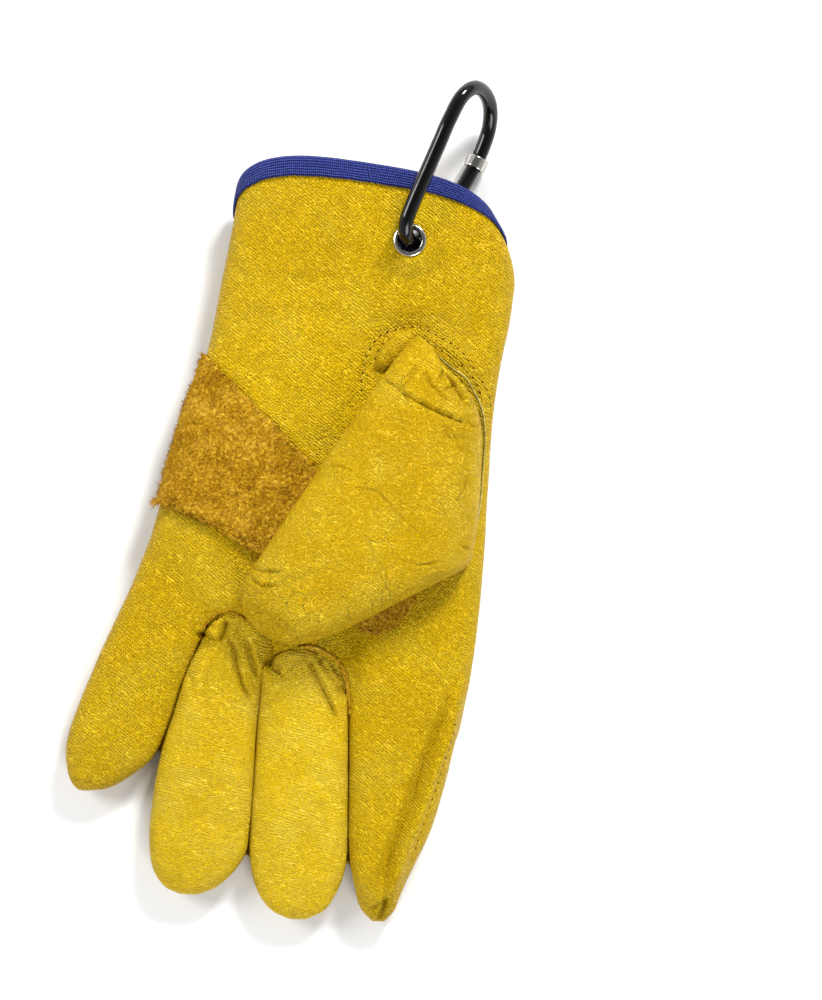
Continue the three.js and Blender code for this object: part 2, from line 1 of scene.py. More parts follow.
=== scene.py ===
# %% [markdown]
# # A leather work glove
# This lesson dresses a CAD model of a driver's work glove: pale yellow grain leather, a suede patch, blue
# tape round the cuff, and a black wire ring through a nickel eyelet. The CAD model gives each piece its place
# and size. Here each piece is modelled again with the soft forms, seams and grain of the real one, and then
# takes the CAD piece's place.

# %% Load the CAD model
import math

import bmesh
import bpy
import numpy as np
from mathutils import Matrix, Vector, bvhtree, kdtree, noise


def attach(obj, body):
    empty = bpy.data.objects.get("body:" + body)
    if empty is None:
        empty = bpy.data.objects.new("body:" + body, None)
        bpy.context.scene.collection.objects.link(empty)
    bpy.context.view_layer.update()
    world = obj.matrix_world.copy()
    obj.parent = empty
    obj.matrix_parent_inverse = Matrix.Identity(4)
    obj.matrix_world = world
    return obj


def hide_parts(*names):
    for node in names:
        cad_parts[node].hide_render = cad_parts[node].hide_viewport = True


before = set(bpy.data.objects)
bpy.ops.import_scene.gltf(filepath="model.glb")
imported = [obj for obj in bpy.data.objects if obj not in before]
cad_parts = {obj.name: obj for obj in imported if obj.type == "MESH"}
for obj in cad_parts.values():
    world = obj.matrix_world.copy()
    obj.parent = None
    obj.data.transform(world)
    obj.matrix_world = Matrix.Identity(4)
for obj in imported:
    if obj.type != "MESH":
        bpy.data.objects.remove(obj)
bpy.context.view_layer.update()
print("CAD pieces:", ", ".join(sorted(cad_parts)))

# %% [markdown]
# ## Camera, floor and light
# The glove lies on a white floor and is seen from straight above, from a metre away. A long lens keeps it
# nearly free of perspective. Soft lamps stand round it at a low angle, so that the grain casts small shadows,
# and the sky is bright at its sides and dark overhead, so that the leather doesn't mirror it into the camera
# and look milky. The Standard view keeps the leather's strong yellow, which a film-like view would wash out.

# %% Camera
SEEN_HEIGHT = 0.348  # height of the view at the floor, in metres
EYE = (0.0419, 0.0016, 1.0)
camera_data = bpy.data.cameras.new("camera")
camera_data.sensor_width = 36
camera_data.lens = 36 * EYE[2] / SEEN_HEIGHT
camera = bpy.data.objects.new("camera", camera_data)
camera.location = EYE
bpy.context.scene.collection.objects.link(camera)
bpy.context.scene.camera = camera
bpy.context.scene.view_settings.view_transform = "Standard"
print("lens:", round(camera_data.lens, 1), "mm")


# %% Helpers for materials
def linear(hex_colour):
    """The linear colour of an sRGB hex value, which is what shader sockets take."""
    parts = [int(hex_colour[i : i + 2], 16) / 255 for i in (1, 3, 5)]
    return (*[p / 12.92 if p <= 0.04045 else ((p + 0.055) / 1.055) ** 2.4 for p in parts], 1.0)


def add(tree, kind, values=None, **settings):
    """Adds a node, sets its options, and fills its sockets with numbers or links. A socket is given by its
    name, or by its number where the node has several of that name: 1 to 4 on a Map Range node are from and
    to, old and new."""
    made = tree.nodes.new(kind)
    for option, value in settings.items():
        setattr(made, option, value)
    for socket, value in (values or {}).items():
        if isinstance(value, bpy.types.NodeSocket):
            tree.links.new(value, made.inputs[socket])
        else:
            made.inputs[socket].default_value = value
    return made


def blank_material(name):
    """A material without nodes, ready to be filled, and its node tree."""
    made = bpy.data.materials.new(name)
    made.use_nodes = True
    made.node_tree.nodes.clear()
    return made, made.node_tree


# %% Floor and light
paper, tree = blank_material("seamless_paper")
shader = add(tree, "ShaderNodeBsdfPrincipled", {"Base Color": linear("#f4f4f4"), "Roughness": 0.9})
add(tree, "ShaderNodeOutputMaterial", {"Surface": shader.outputs[0]})

FLOOR_REACH = 6  # from the middle of the floor to its edges, in metres
floor_bm = bmesh.new()
bmesh.ops.create_grid(floor_bm, x_segments=2, y_segments=2, size=FLOOR_REACH)
floor_mesh = bpy.data.meshes.new("floor")
floor_bm.to_mesh(floor_mesh)
floor = bpy.data.objects.new("floor", floor_mesh)
floor.data.materials.append(paper)
bpy.context.scene.collection.objects.link(floor)


def soft_lamp(name, place, size, watts):
    """A square lamp that faces the glove."""
    data = bpy.data.lights.new(name, "AREA")
    data.size = size
    data.energy = watts
    lamp = bpy.data.objects.new(name, data)
    lamp.location = place
    lamp.rotation_euler = (Vector((0, 0, 0)) - Vector(place)).to_track_quat("-Z", "Y").to_euler()
    bpy.context.scene.collection.objects.link(lamp)


# name, place and side in metres, and power in watts
soft_lamp("key_lamp", (0.55, 1.1, 0.72), 0.3, 24)
soft_lamp("left_lamp", (-1.1, 0.5, 0.8), 0.6, 13)
soft_lamp("low_lamp", (0.45, -1.15, 0.75), 0.8, 13)
world = bpy.data.worlds.new("studio")
world.use_nodes = True
sky = world.node_tree
sky_direction = add(sky, "ShaderNodeTexCoord").outputs["Generated"]
sky_height = add(sky, "ShaderNodeSeparateXYZ", {0: sky_direction}).outputs[2]
sky_strength = add(sky, "ShaderNodeMapRange",
                   {"Value": sky_height, 1: 0.55, 2: 0.95, 3: 0.5, 4: 0.12}).outputs[0]
sky.links.new(sky_strength, sky.nodes["Background"].inputs["Strength"])
sky.nodes["Background"].inputs["Color"].default_value = (1, 1, 1, 1)
bpy.context.scene.world = world

# %% [markdown]
# ## The glove's form
# A glove that lies empty is a set of flattened tubes: the hand, four fingers and the thumb. Each tube is
# given by a table of sections. A row holds the left and right ends of a section in plan, then the heights of
# its underside, of its widest line and of its top. They are the same tables that the CAD model is made from,
# so both agree.

# %% Sections of the hand and the fingers, in millimetres
SHIFT = np.array([3.0, -13.609, 0.0])  # from the tables' origin to the middle of the glove's footprint
HAND = [
    (-20.5, 119, 68.5, 105.5, 2.4, 9.5, 22), (-21.5, 114.5, 72.5, 100, 2, 9.3, 22.5),
    (-23, 106, 74.5, 92, 0.9, 9, 22.5), (-25.5, 94, 74, 84, -0.3, 9, 22), (-28, 81, 72.5, 74, -0.6, 9, 21.5),
    (-30.5, 69, 70.5, 65, -0.6, 9, 21), (-34.5, 57, 68.5, 53.5, -0.6, 9, 21),
    (-39, 45, 67, 41.5, -0.6, 9, 21),
    (-43, 31, 66, 29.5, -0.6, 9, 20.5), (-47.5, 14, 65, 14, -0.6, 9, 20), (-51.5, 0, 64, -7, -0.6, 8.5, 19),
    (-55, -9.5, 62, -27.5, -0.6, 8, 17.5), (-58.5, -16, 59.5, -45.5, -0.6, 7.5, 15.5),
    (-60, -19.5, 56.5, -60.5, 0.8, 7, 12.5), (-61, -21, 55, -67, 5, 6.5, 8),
]
FINGERS = {
    "little": [
        (-49, 7, -22.5, -12, 1.5, 8, 15), (-57.5, -14, -30.5, -27, 0.4, 7.5, 15),
        (-60.5, -20.5, -33.6, -33, -0.5, 7, 14.5), (-67, -34.5, -39.8, -47.5, -0.5, 7, 14),
        (-73, -48.5, -44.3, -61.5, -0.5, 7, 13.5), (-78, -61, -50.5, -74, -0.5, 7, 13.5),
        (-80.5, -70.5, -59, -81, -0.3, 6.5, 12), (-80, -78, -66, -84.5, 1, 6, 10.5),
        (-78.5, -82.5, -72.5, -85.2, 3.5, 6, 8.5), (-76.5, -85, -75.5, -85.5, 5.5, 6, 6.5),
    ],
    "ring": [
        (-29, -17, -4, -23, 1.5, 8, 14.5), (-32.4, -32, -12.5, -38, 0, 7.5, 15),
        (-37.8, -43, -13.8, -48.5, -0.5, 7, 14.5), (-42.3, -56.5, -14.5, -60.5, -0.5, 7, 14.5),
        (-46.6, -70, -15.5, -74, -0.5, 7, 14.5), (-49.3, -83, -16.3, -86.5, -0.5, 7, 14.5),
        (-50.7, -95, -17.3, -97.5, -0.5, 7, 14), (-51, -104, -19, -106.5, -0.5, 7, 13),
        (-50, -112, -23, -113, 0, 6.5, 11.5), (-46.5, -118, -29.5, -118.5, 1.8, 6, 9.5),
        (-41, -121, -36, -121.2, 5, 6, 7),
    ],
    "middle": [
        (-9, -24, 16, -29, 1.5, 8, 14.5), (-11.5, -40, 16.8, -45, 0, 7.5, 15),
        (-13, -52, 16.8, -53.5, -0.5, 7, 14.8),
        (-14.2, -69, 16.8, -70.5, -0.5, 7, 14.5), (-15.3, -86, 16.7, -88, -0.5, 7, 14.5),
        (-16.2, -101.5, 16.5, -103, -0.5, 7, 13.5), (-15.8, -111, 15.5, -112, -0.3, 7, 12.5),
        (-13.5, -119.5, 13, -119.5, 0.6, 6.5, 11), (-9, -126, 8.5, -126.5, 2.5, 6, 9),
        (-2.5, -129.7, 2, -129.8, 5, 6, 7),
    ],
    "index": [
        (21.5, -20, 61, -21.5, 1.5, 8, 14.5), (18, -48, 58.5, -48.5, 0, 7.5, 15.5),
        (17.9, -57, 56.5, -58, -0.5, 7, 15.5),
        (17.9, -69, 54, -69.5, -0.5, 7, 15.5), (17.9, -83, 50.5, -84, -0.5, 7, 15.5),
        (17.9, -97, 46, -98.5, -0.5, 7, 15.5),
        (18.4, -109, 40, -111, -0.5, 7, 14.5), (20, -119, 35.5, -121, -0.3, 6.5, 13),
        (22, -126, 33, -127, 1.5, 6, 10),
        (26, -130.6, 29, -130.8, 5, 6, 7),
    ],
}
SEAM_LOW, SEAM_HIGH = 4.2, 9.4  # heights of the two side seams
WALL_POWER = 0.66  # roundness of a section: 1 is an ellipse, less is squarer
FLOOR_POWER = 0.46  # the same for its underside, flattened by the floor
print("sections:", len(HAND) + sum(len(rows) for rows in FINGERS.values()))


# %% Points of a lofted form
def signed_power(value, exponent):
    return np.sign(value) * np.abs(value) ** exponent


def on_curve(before, here, after, beyond, f):
    """The point on a smooth curve at a share f of the way from one of its points to the next."""
    bend = (2 * before - 5 * here + 4 * after - beyond) * f + (3 * here - before - 3 * after + beyond) * f * f
    return here + 0.5 * f * (after - before + bend)


def rows_at(rows, t):
    """The rows' values at each t, on a smooth curve through them that carries on straight past its ends."""
    rows = np.array(rows, float)
    i = np.clip(np.floor(t).astype(int), 0, len(rows) - 2)
    f = (t - i)[:, None]
    here, after = rows[i], rows[i + 1]
    before = np.where((i > 0)[:, None], rows[np.maximum(i - 1, 0)], 2 * here - after)
    beyond = np.where((i + 2 < len(rows))[:, None], rows[np.minimum(i + 2, len(rows) - 1)], 2 * after - here)
    return on_curve(before, here, after, beyond, f).T


def loft(rows, t, turn):
    """Points of a tube. t counts its rows and turn goes round it, from its right end over its top."""
    lx, ly, rx, ry, base, mid, top = rows_at(rows, t)
    side, up = signed_power(np.cos(turn), WALL_POWER), np.sin(turn)
    above = (top - mid) * signed_power(up, WALL_POWER)
    below = (mid - base) * signed_power(up, FLOOR_POWER)
    z = np.maximum(mid + np.where(up > 0, above, below), 0)
    x = (lx + rx) / 2 + side * (rx - lx) / 2
    y = (ly + ry) / 2 + side * (ry - ly) / 2
    return np.stack([x, y, z], 1) + SHIFT


# %% [markdown]
# The hand's tube has two marks of its own. Its rim is uneven, because the palm side stands further out than
# the back. And the back is drawn together by a hidden elastic at the wrist, which leaves a row of puckers.

# %% The hand's tube
ARCH, DIP, BACK_SHIFT = 16, 4.5, 6  # how the cuff's rim bows out, dips, and is pushed to one side
RIM_FADE = 4  # rows of the table over which the rim's own shape fades out
GATHERS = {"y": 71, "spread": 11, "height": 1.8, "count": 7, "left": -25, "width": 95}


def bump(value, spread):
    return np.exp(-((value / spread) ** 2))


def hand_form(t, turn):
    """Points of the hand's tube; t = 0 is the cuff's rim."""
    points = loft(HAND, t, turn)
    up, side = np.sin(turn), np.cos(turn)
    near_rim = np.maximum(0, 1 - t / RIM_FADE) ** 1.3
    points[:, 1] += near_rim * np.where(up > 0, ARCH * np.abs(up) ** 0.9, DIP * up)
    points[:, 0] -= np.where((up < 0) & (side < 0), near_rim * BACK_SHIFT * up * side, 0)
    place = points - SHIFT
    from_left = place[:, 0] - GATHERS["left"]
    wave = 0.5 - 0.5 * np.cos(from_left * 2 * np.pi * GATHERS["count"] / GATHERS["width"])
    lift = GATHERS["height"] * wave * bump(place[:, 1] - GATHERS["y"], GATHERS["spread"]) * np.abs(up) ** 0.5
    points[:, 2] += np.where(up < 0, lift, 0)
    return points


RIM_STEPS = 720
rim_tree = kdtree.KDTree(RIM_STEPS)
rim_turn = np.linspace(0, 2 * np.pi, RIM_STEPS, endpoint=False)
for i, point in enumerate(hand_form(np.zeros(RIM_STEPS), rim_turn)):
    rim_tree.insert(point, i)
rim_tree.balance()


def rolled(name, across, along, form, capped=True):
    """A grid laid on a form: u runs once round it and v from its first end to its last. Its UV map holds u
    and v."""
    made = bmesh.new()
    made.loops.layers.uv.new("UVMap")
    bmesh.ops.create_grid(made, x_segments=across, y_segments=along, size=1, calc_uvs=True)
    flat = np.array([v.co[:2] for v in made.verts]) / 2 + 0.5
    for vertex, point in zip(made.verts, form(flat[:, 0], flat[:, 1])):
        vertex.co = point
    bmesh.ops.remove_doubles(made, verts=made.verts, dist=1e-4)
    if capped:
        bmesh.ops.holes_fill(made, edges=[e for e in made.edges if e.is_boundary], sides=0)
    bmesh.ops.recalc_face_normals(made, faces=made.faces)
    mesh = bpy.data.meshes.new(name)
    made.to_mesh(mesh)
    made.free()
    return mesh


FULL_TURN = 2 * np.pi
PAST_RIM = 0.7  # how far the hand's tube is drawn out past the rim, in rows; it is cut back to the rim later
# how much wider each finger is on the left and the right, where it presses on its neighbours
PRESSED = {"little": (0, 0), "ring": (0.4, 0.9), "middle": (0.8, 0.7), "index": (0.6, 0)}
ROOT_FLARE = {"ring": (0.4, 4.2)}  # how much wider it is at its root, where it goes in under its neighbours
FLARE_SHARES = [0.8, 1, 0.35]  # share of that flare in its first three rows


def hand_tube(u, v):
    """The hand's form from a little past the rim to the roots of the fingers."""
    return hand_form(v * (len(HAND) - 1 + PAST_RIM) - PAST_RIM, u * FULL_TURN)


tubes = {"hand": rolled("hand", 160, 60, hand_tube)}
for finger, rows in FINGERS.items():
    left, right = PRESSED[finger]
    left_flare, right_flare = ROOT_FLARE.get(finger, (0, 0))
    rows = [(lx - left - left_flare * share, ly, rx + right + right_flare * share, ry, *heights)
            for share, (lx, ly, rx, ry, *heights) in zip(FLARE_SHARES + [0] * len(rows), rows)]
    tubes[finger] = rolled(finger, 150, 210, lambda u, v: loft(rows, v * (len(rows) - 1), u * FULL_TURN))
print("tubes:", {name: len(tube.vertices) for name, tube in tubes.items()})

# %% [markdown]
# ## Skins over several tubes
# On the palm side the little and the index finger grow out of the palm without a seam, and on the back all
# four do. So two skins are made, one over the hand with those two fingers and one over everything. A voxel
# remesh keeps only the outside of shapes that overlap, and gives an even net of small squares that can take
# folds anywhere. A light smoothing takes out the steps it leaves. The ring and the middle finger have fronts
# of their own, so they get a skin each.


# %% Join tubes under one skin
def linked(name, mesh):
    made = bpy.data.objects.new(name, mesh)
    bpy.context.scene.collection.objects.link(made)
    return made


def with_modifiers_applied(obj):
    """A new mesh with the object's modifiers applied. The object itself goes."""
    graph = bpy.context.evaluated_depsgraph_get()
    mesh = bpy.data.meshes.new_from_object(obj.evaluated_get(graph))
    bpy.data.objects.remove(obj)
    return mesh


def joined(name, meshes):
    gathered = bmesh.new()
    for mesh in meshes:
        gathered.from_mesh(mesh)
    made = bpy.data.meshes.new(name)
    gathered.to_mesh(made)
    gathered.free()
    return made


def skin_over(name, parts, cell):
    """One even skin over the named tubes, with squares of the given size in millimetres."""
    draft = linked("draft", joined(name, [tubes[part] for part in parts]))
    remesh = draft.modifiers.new("remesh", "REMESH")
    remesh.mode = "VOXEL"
    remesh.voxel_size = cell
    smooth = draft.modifiers.new("smooth", "SMOOTH")
    smooth.factor = 0.5
    smooth.iterations = 6
    return with_modifiers_applied(draft)


skins = {
    "palm_side": skin_over("palm_side", ["hand", "little", "index"], 0.87),
    "back_side": skin_over("back_side", ["hand", *FINGERS], 0.95),
    "ring": skin_over("ring", ["ring"], 0.6),
    "middle": skin_over("middle", ["middle"], 0.6),
}
print("skins:", {name: len(mesh.vertices) for name, mesh in skins.items()})

# %% [markdown]
# ## Folds and dents
# Leather that has been worn and pressed flat shows three kinds of relief: wide hollows, folds along known
# lines, and a slight waviness everywhere. The first two are tables; each fold is a line in plan with a width
# and a depth. The points of the skin are then moved in code, as a sculptor's brush would move them.

# %% Tables of dents and folds
# place, reach each way and depth of each dent of the palm side
DENTS = [
    (45, 59.4, 20, 8, 3.0), (6, 78.4, 26, 14, 1.2), (-21, -40.6, 7, 5, 2.0), (-6, -43.6, 4, 8, 2.0),
    (20, -53.6, 4, 10, 2.0), (44, -81.6, 4, 20, 1.8), (38, 77, 20, 17, 1.8),
]
OUTER_ROW = [(25, 39), (25, 42), (25.5, 45), (27, 51), (30.5, 57), (37, 60), (42, 61), (47.5, 59.5),
             (55, 55.5), (59.5, 52), (63, 47), (66.5, 42), (69, 36.5), (69.6, 31)]
INNER_ROW = [(29.5, 47), (30, 51), (33, 56), (40, 58), (45, 57), (49.5, 54.5), (54, 51.5), (58, 49),
             (61.5, 45), (64.5, 41), (66.5, 35.5)]
PATCH_ROW = [(-43, 3.5), (-38, -1), (-31.5, -4.5), (-25.5, -6.5), (-16.5, -11), (-10, -14.5)]
INDEX_ROW = [(57, -75.5), (55.5, -82.5), (53, -89.5), (51, -96.5), (48.5, -103), (45.5, -112), (42.5, -121)]
NEEDLE_PITS = [(-14, -29), (-8.5, -30), (-4.5, -32), (0, -33), (5.5, -34), (-10, -36.5), (-2.5, -39), (2, -39),
               (7.5, -39), (-5, -42), (-0.5, -45.5), (3.5, -45.5), (12, -30), (19, -31), (26, -30), (34, -28.5)]
# line, width and depth of each fold of the palm side; a depth below zero is a ridge
FOLDS = [
    ([(57, -58), (54.5, -70), (50.5, -80), (45.5, -91), (41.5, -103), (36.5, -115), (32.6, -128), (31, -139)],
     1.7, 2.2),
    ([(58, -62), (55, -79), (49.7, -93), (45.7, -105), (40.7, -117), (35.7, -130), (33, -138)], 2.1, -1.9),
    ([(33.8, -134), (32.8, -138.5), (31.2, -142), (29, -150)], 0.8, 2.6),
    ([(27.5, -140), (32.6, -137), (38, -139)], 0.8, 0.9),
    ([(-24.5, -48), (-22.4, -44), (-21.5, -39)], 1.0, 1.9),
    ([(-21, -44), (-18.5, -50), (-18, -55), (-16, -62), (-12, -68)], 0.8, 1.9),
    ([(-14.5, -45), (-12.5, -53.5), (-10.5, -59)], 0.9, 1.8),
    ([(-32, -44.5), (-28, -45.2), (-24.5, -47)], 0.8, 2.0),
    ([(-26, -51), (-29.5, -60), (-31, -67)], 1.2, 0.9), ([(-34, -58), (-33, -66)], 1.2, 0.6),
    ([(5.5, -50.5), (8.5, -56), (11, -62), (14, -68), (18.5, -78)], 0.9, 2.0),
    ([(9, -51), (14.5, -58), (18.5, -66)], 0.8, 1.1),
    ([(13.5, -53.5), (17, -58), (19.2, -66)], 0.9, 1.4),
    ([(-42, -97), (-30, -93), (-15, -98)], 2.2, 0.5), ([(-46, -112), (-30, -108), (-16, -112)], 2.4, 0.45),
    ([(-8, -98), (5, -93), (18, -97)], 2.4, 0.45), ([(36.5, 85), (28, 78)], 1.6, 0.6),
    ([(38, 82.5), (33, 73)], 1.5, 0.6),
    ([(52, 82.5), (57, 73)], 1.5, 0.7), ([(49, 80), (48.5, 69.5)], 1.5, 0.6),
    ([(47, 91), (60, 96)], 1.8, 0.5),
    ([(-20, 62), (5, 66), (25, 60)], 2.6, 0.5), ([(-22, 80), (0, 74), (20, 78)], 3, 0.5),
]
print("dents and folds:", len(DENTS), len(FOLDS))


# %% Move the skin's points
def coordinates(mesh):
    flat = np.empty(len(mesh.vertices) * 3)
    mesh.vertices.foreach_get("co", flat)
    return flat.reshape(-1, 3)


def normals_of(mesh):
    flat = np.empty(len(mesh.vertices) * 3)
    mesh.vertex_normals.foreach_get("vector", flat)
    return flat.reshape(-1, 3)


def move_points(mesh, points):
    mesh.vertices.foreach_set("co", points.ravel())
    mesh.update()


def distance_to(path, points):
    """How far each point is from a path in plan, and how far along the path it lies, from 0 to 1."""
    path, plan = np.array(path, float), points[:, :2]
    nearest, along = np.full(len(plan), np.inf), np.zeros(len(plan))
    for i, (a, b) in enumerate(zip(path, path[1:])):
        share = np.clip(((plan - a) @ (b - a)) / max((b - a) @ (b - a), 1e-9), 0, 1)
        away = np.linalg.norm(plan - a - share[:, None] * (b - a), axis=1)
        closer = away < nearest
        nearest[closer], along[closer] = away[closer], (i + share[closer]) / (len(path) - 1)
    return nearest, along


def smooth_rise(value, low, high):
    share = np.clip((value - low) / (high - low), 0, 1)
    return share * share * (3 - 2 * share)


def waviness(points, wavelength, seed):
    """A smooth random value from -1 to 1 at each point."""
    shifted = points / wavelength + seed
    return np.array([noise.noise(Vector(p)) for p in shifted])


def smooth_path(path, step, closed=False):
    """The path as an even row of points on a smooth curve through its own points."""
    path = np.array(path, float)
    if closed:
        padded = np.vstack([path[-1:], path, path[:2]])
    else:
        padded = np.vstack([2 * path[0] - path[1], path, 2 * path[-1] - path[-2]])
    dense = []
    for before, here, after, beyond in zip(padded, padded[1:], padded[2:], padded[3:]):
        for f in np.linspace(0, 1, 24, endpoint=False):
            dense.append(on_curve(before, here, after, beyond, f))
    dense = np.array(dense + [padded[-2]])
    lengths = np.concatenate([[0], np.cumsum(np.linalg.norm(np.diff(dense, axis=0), axis=1))])
    places = np.linspace(0, lengths[-1], max(3, int(round(lengths[-1] / step)) + 1))
    return np.stack([np.interp(places, lengths, dense[:, k]) for k in range(dense.shape[1])], 1)


def puckers(path, spacing, reach, width, depth, side, seed):
    """Short folds that run off a sewn line to one side of it, where the thread draws the leather in."""
    luck = np.random.default_rng(seed)
    made, line = [], smooth_path(path, spacing)
    for before, here, after in zip(line, line[1:], line[2:]):
        along = (after - before) / np.linalg.norm(after - before)
        off = np.array([-along[1], along[0]]) * side + along * luck.uniform(-0.5, 0.5)
        start = here + along * luck.uniform(-0.25, 0.25) * spacing
        end = start + off * reach * luck.uniform(0.5, 1.1)
        made.append(([start, end], width * luck.uniform(0.8, 1.2), depth * luck.uniform(0.5, 1.1)))
    return made


# height of the low bank beside a fold, as a share of its depth, and its place in widths
BANK, BANK_AT = 0.3, 2.1


def folded(points, facing, folds):
    """How far each fold moves each point along its normal. A fold fades out towards its ends."""
    move = np.zeros(len(points))
    for path, width, depth in folds:
        away, along = distance_to(path, points)
        away, fade = away / width, smooth_rise(np.minimum(along, 1 - along), -0.04, 0.22)
        move += fade * depth * (BANK * np.exp(-((away - BANK_AT) ** 2)) - np.exp(-(away**1.5)))
    return move * facing


LEATHER = 1.3  # thickness in millimetres
EYELET_AT = np.array([38.8, 103.6]) + SHIFT[:2]
EYELET_TILT = 0.1  # how far the ring pulls it over, as a share of its height
# how far round it the leather is pressed flat, and over what distance that ends
PRESSED_REACH, PRESSED_FADE = 13, 6
grid_t, grid_turn = [g.ravel() for g in np.meshgrid(np.linspace(0, 3, 121), np.linspace(0.03, 3.11, 200))]
near_eyelet = hand_form(grid_t, grid_turn)
best = np.argmin(np.hypot(near_eyelet[:, 0] - EYELET_AT[0], near_eyelet[:, 1] - EYELET_AT[1]))


def outward_at(t, turn, e=0.02):
    """The outward direction of the hand's tube."""
    t, turn = np.atleast_1d(t).astype(float), np.atleast_1d(turn).astype(float)
    round_it = hand_form(t, turn + e) - hand_form(t, turn - e)
    along_it = hand_form(t + e, turn) - hand_form(t - e, turn)
    out = np.cross(round_it, along_it)
    return out / np.linalg.norm(out, axis=1)[:, None]


RING_ALONG = np.array([0.4, 0.917, 0]) / math.hypot(0.4, 0.917)  # direction of the ring's long side
RING_ASIDE = np.array([RING_ALONG[1], -RING_ALONG[0], 0])
palm_normal = outward_at(grid_t[best], grid_turn[best])[0]
eyelet_axis = palm_normal - EYELET_TILT * RING_ASIDE
eyelet_axis /= np.linalg.norm(eyelet_axis)
eyelet_centre = near_eyelet[best] - palm_normal * LEATHER / 2

RING_ROOT = np.array([(-8.5, -36), (-10, -31.5), (-14, -27), (-20, -23.8), (-25, -23.2), (-29.5, -25.5),
                      (-31.8, -29), (-33.5, -33)]) + SHIFT[:2]
MIDDLE_ROOT = np.array([(17.3, -52), (15.5, -45.5), (11.5, -40), (6, -36.8), (0, -35.8), (-5.5, -36.8),
                        (-10, -39.5), (-12.5, -43)]) + SHIFT[:2]
ring_root, middle_root = smooth_path(RING_ROOT, 1.5), smooth_path(MIDDLE_ROOT, 1.5)


def pressed_round_eyelet(points, upper):
    """The eyelet presses the leather round it flat."""
    along = (points - eyelet_centre) @ eyelet_axis
    away = np.linalg.norm(points - eyelet_centre - np.outer(along, eyelet_axis), axis=1)
    pressed = np.clip((PRESSED_REACH - away) / PRESSED_FADE, 0, 1)
    pressed = pressed * (upper > 0.3) * (points[:, 2] > SEAM_HIGH)
    return points - np.outer((along - LEATHER / 2) * pressed, eyelet_axis)


def off_the_rim(points):
    """0 under the binding, where the leather stays even, and 1 from there on."""
    share = np.ones(len(points))
    for i in np.nonzero(points[:, 1] > 70)[0]:
        share[i] = smooth_rise(rim_tree.find(points[i])[2], 5, 15)
    return share


def sculpt(mesh, folds):
    """Dents, folds and a slight waviness on the palm side of a mesh."""
    points, normals = coordinates(mesh), normals_of(mesh)
    upper = np.clip(normals[:, 2], 0, 1) ** 0.5
    free = off_the_rim(points)
    for x, y, along_x, along_y, depth in DENTS:
        points[:, 2] -= depth * bump(points[:, 0] - x, along_x) * bump(points[:, 1] - y, along_y) * upper
    lift = folded(points, upper, folds)
    lift += (0.3 + 0.7 * upper) * (0.5 * waviness(points, 24, 3.1) + 0.22 * waviness(points, 8, 11.7))
    points = pressed_round_eyelet(points + normals * (lift * free)[:, None], upper)
    points[:, 2] = np.maximum(points[:, 2], 0.02)
    move_points(mesh, points)


sewn_folds = [(OUTER_ROW, 0.9, 0.45), (INNER_ROW, 0.9, 0.6), (PATCH_ROW, 1.0, 0.9), (INDEX_ROW, 0.8, 0.5)]
for side, seed in ((1, 31), (-1, 32)):
    sewn_folds += puckers(OUTER_ROW, 3.1, 3.2, 0.55, 0.4, side, seed)
    sewn_folds += puckers(INNER_ROW, 3.1, 3.0, 0.55, 0.4, side, seed + 4)
root_folds = {
    "palm_side": sewn_folds,
    "ring": [(RING_ROOT, 1.1, 0.9), *puckers(RING_ROOT, 3.4, 5.5, 0.7, 0.4, 1, 5)],
    "middle": [(MIDDLE_ROOT, 1.1, 0.9), *puckers(MIDDLE_ROOT, 3.4, 5.5, 0.7, 0.4, 1, 6)],
}
for name, mesh in skins.items():
    sculpt(mesh, FOLDS + root_folds.get(name, []))
print("sculpted:", list(skins))

# %% [markdown]
# ## Cutting the skin into its panels
# The real glove is sewn from a back, a palm, two finger fronts and the strips between the fingers. The skin
# is cut along the same lines: level cuts for the side seams, and cuts along a path in plan for the seams at
# the roots of the fingers. Cutting adds new edges exactly on the line, so each panel gets a clean border.

# %% Seam lines
SIDE_STRIP, LAP = 3, 10  # reach of a strip between fingers, and of the palm panel's lap under the index side


def in_from(row, end, distance):
    """A point on a section, a distance in from one of its ends."""
    left, right = np.array(row[0:2]) + SHIFT[:2], np.array(row[2:4]) + SHIFT[:2]
    share = min(distance / np.linalg.norm(right - left), 0.5)
    return left + (right - left) * share if end == "left" else right - (right - left) * share


def strip_outline(left_finger, right_finger):
    down = [in_from(row, "right", SIDE_STRIP) for row in FINGERS[left_finger][1:-2]]
    up = [in_from(row, "left", SIDE_STRIP) for row in FINGERS[right_finger][1:-2]]
    return np.array(down + up[::-1])


def lap_line():
    """Where the palm panel's edge lies under the index side, from the cuff to the fingertip."""
    hand = [in_from(row, "right", LAP) for row in HAND[:-3]]
    finger = [in_from(row, "right", LAP * 0.8) for row in FINGERS["index"][1:-1]]
    tip = np.array(FINGERS["index"][-1][0:2]) + SHIFT[:2] - (0, 8)
    above = np.array([hand[0][0], 150])
    return np.array([above, *hand, *finger, tip])


def front_outline(finger, root, reach, tail=()):
    rows = np.array([row[:4] for row in FINGERS[finger][2:]]) + np.tile(SHIFT[:2], 2)
    left, right = rows[:, :2] - (reach, 0), rows[:, 2:4] + (reach, 0)
    return np.vstack([root, left, rows[-1, :2] - (6, 4), rows[-1, 2:4] + (6, -4), right[::-1], *tail])


OUTLINES = {
    "side_strip_little_ring": strip_outline("little", "ring"),
    "side_strip_ring_middle": strip_outline("ring", "middle"),
    "side_strip_middle_index": strip_outline("middle", "index"),
    "ring_finger_front": front_outline("ring", ring_root, 1.5, [(-6.5, -58.5), (-3.2, -51.5)]),
    "middle_finger_front": front_outline("middle", middle_root, 1.5),
}
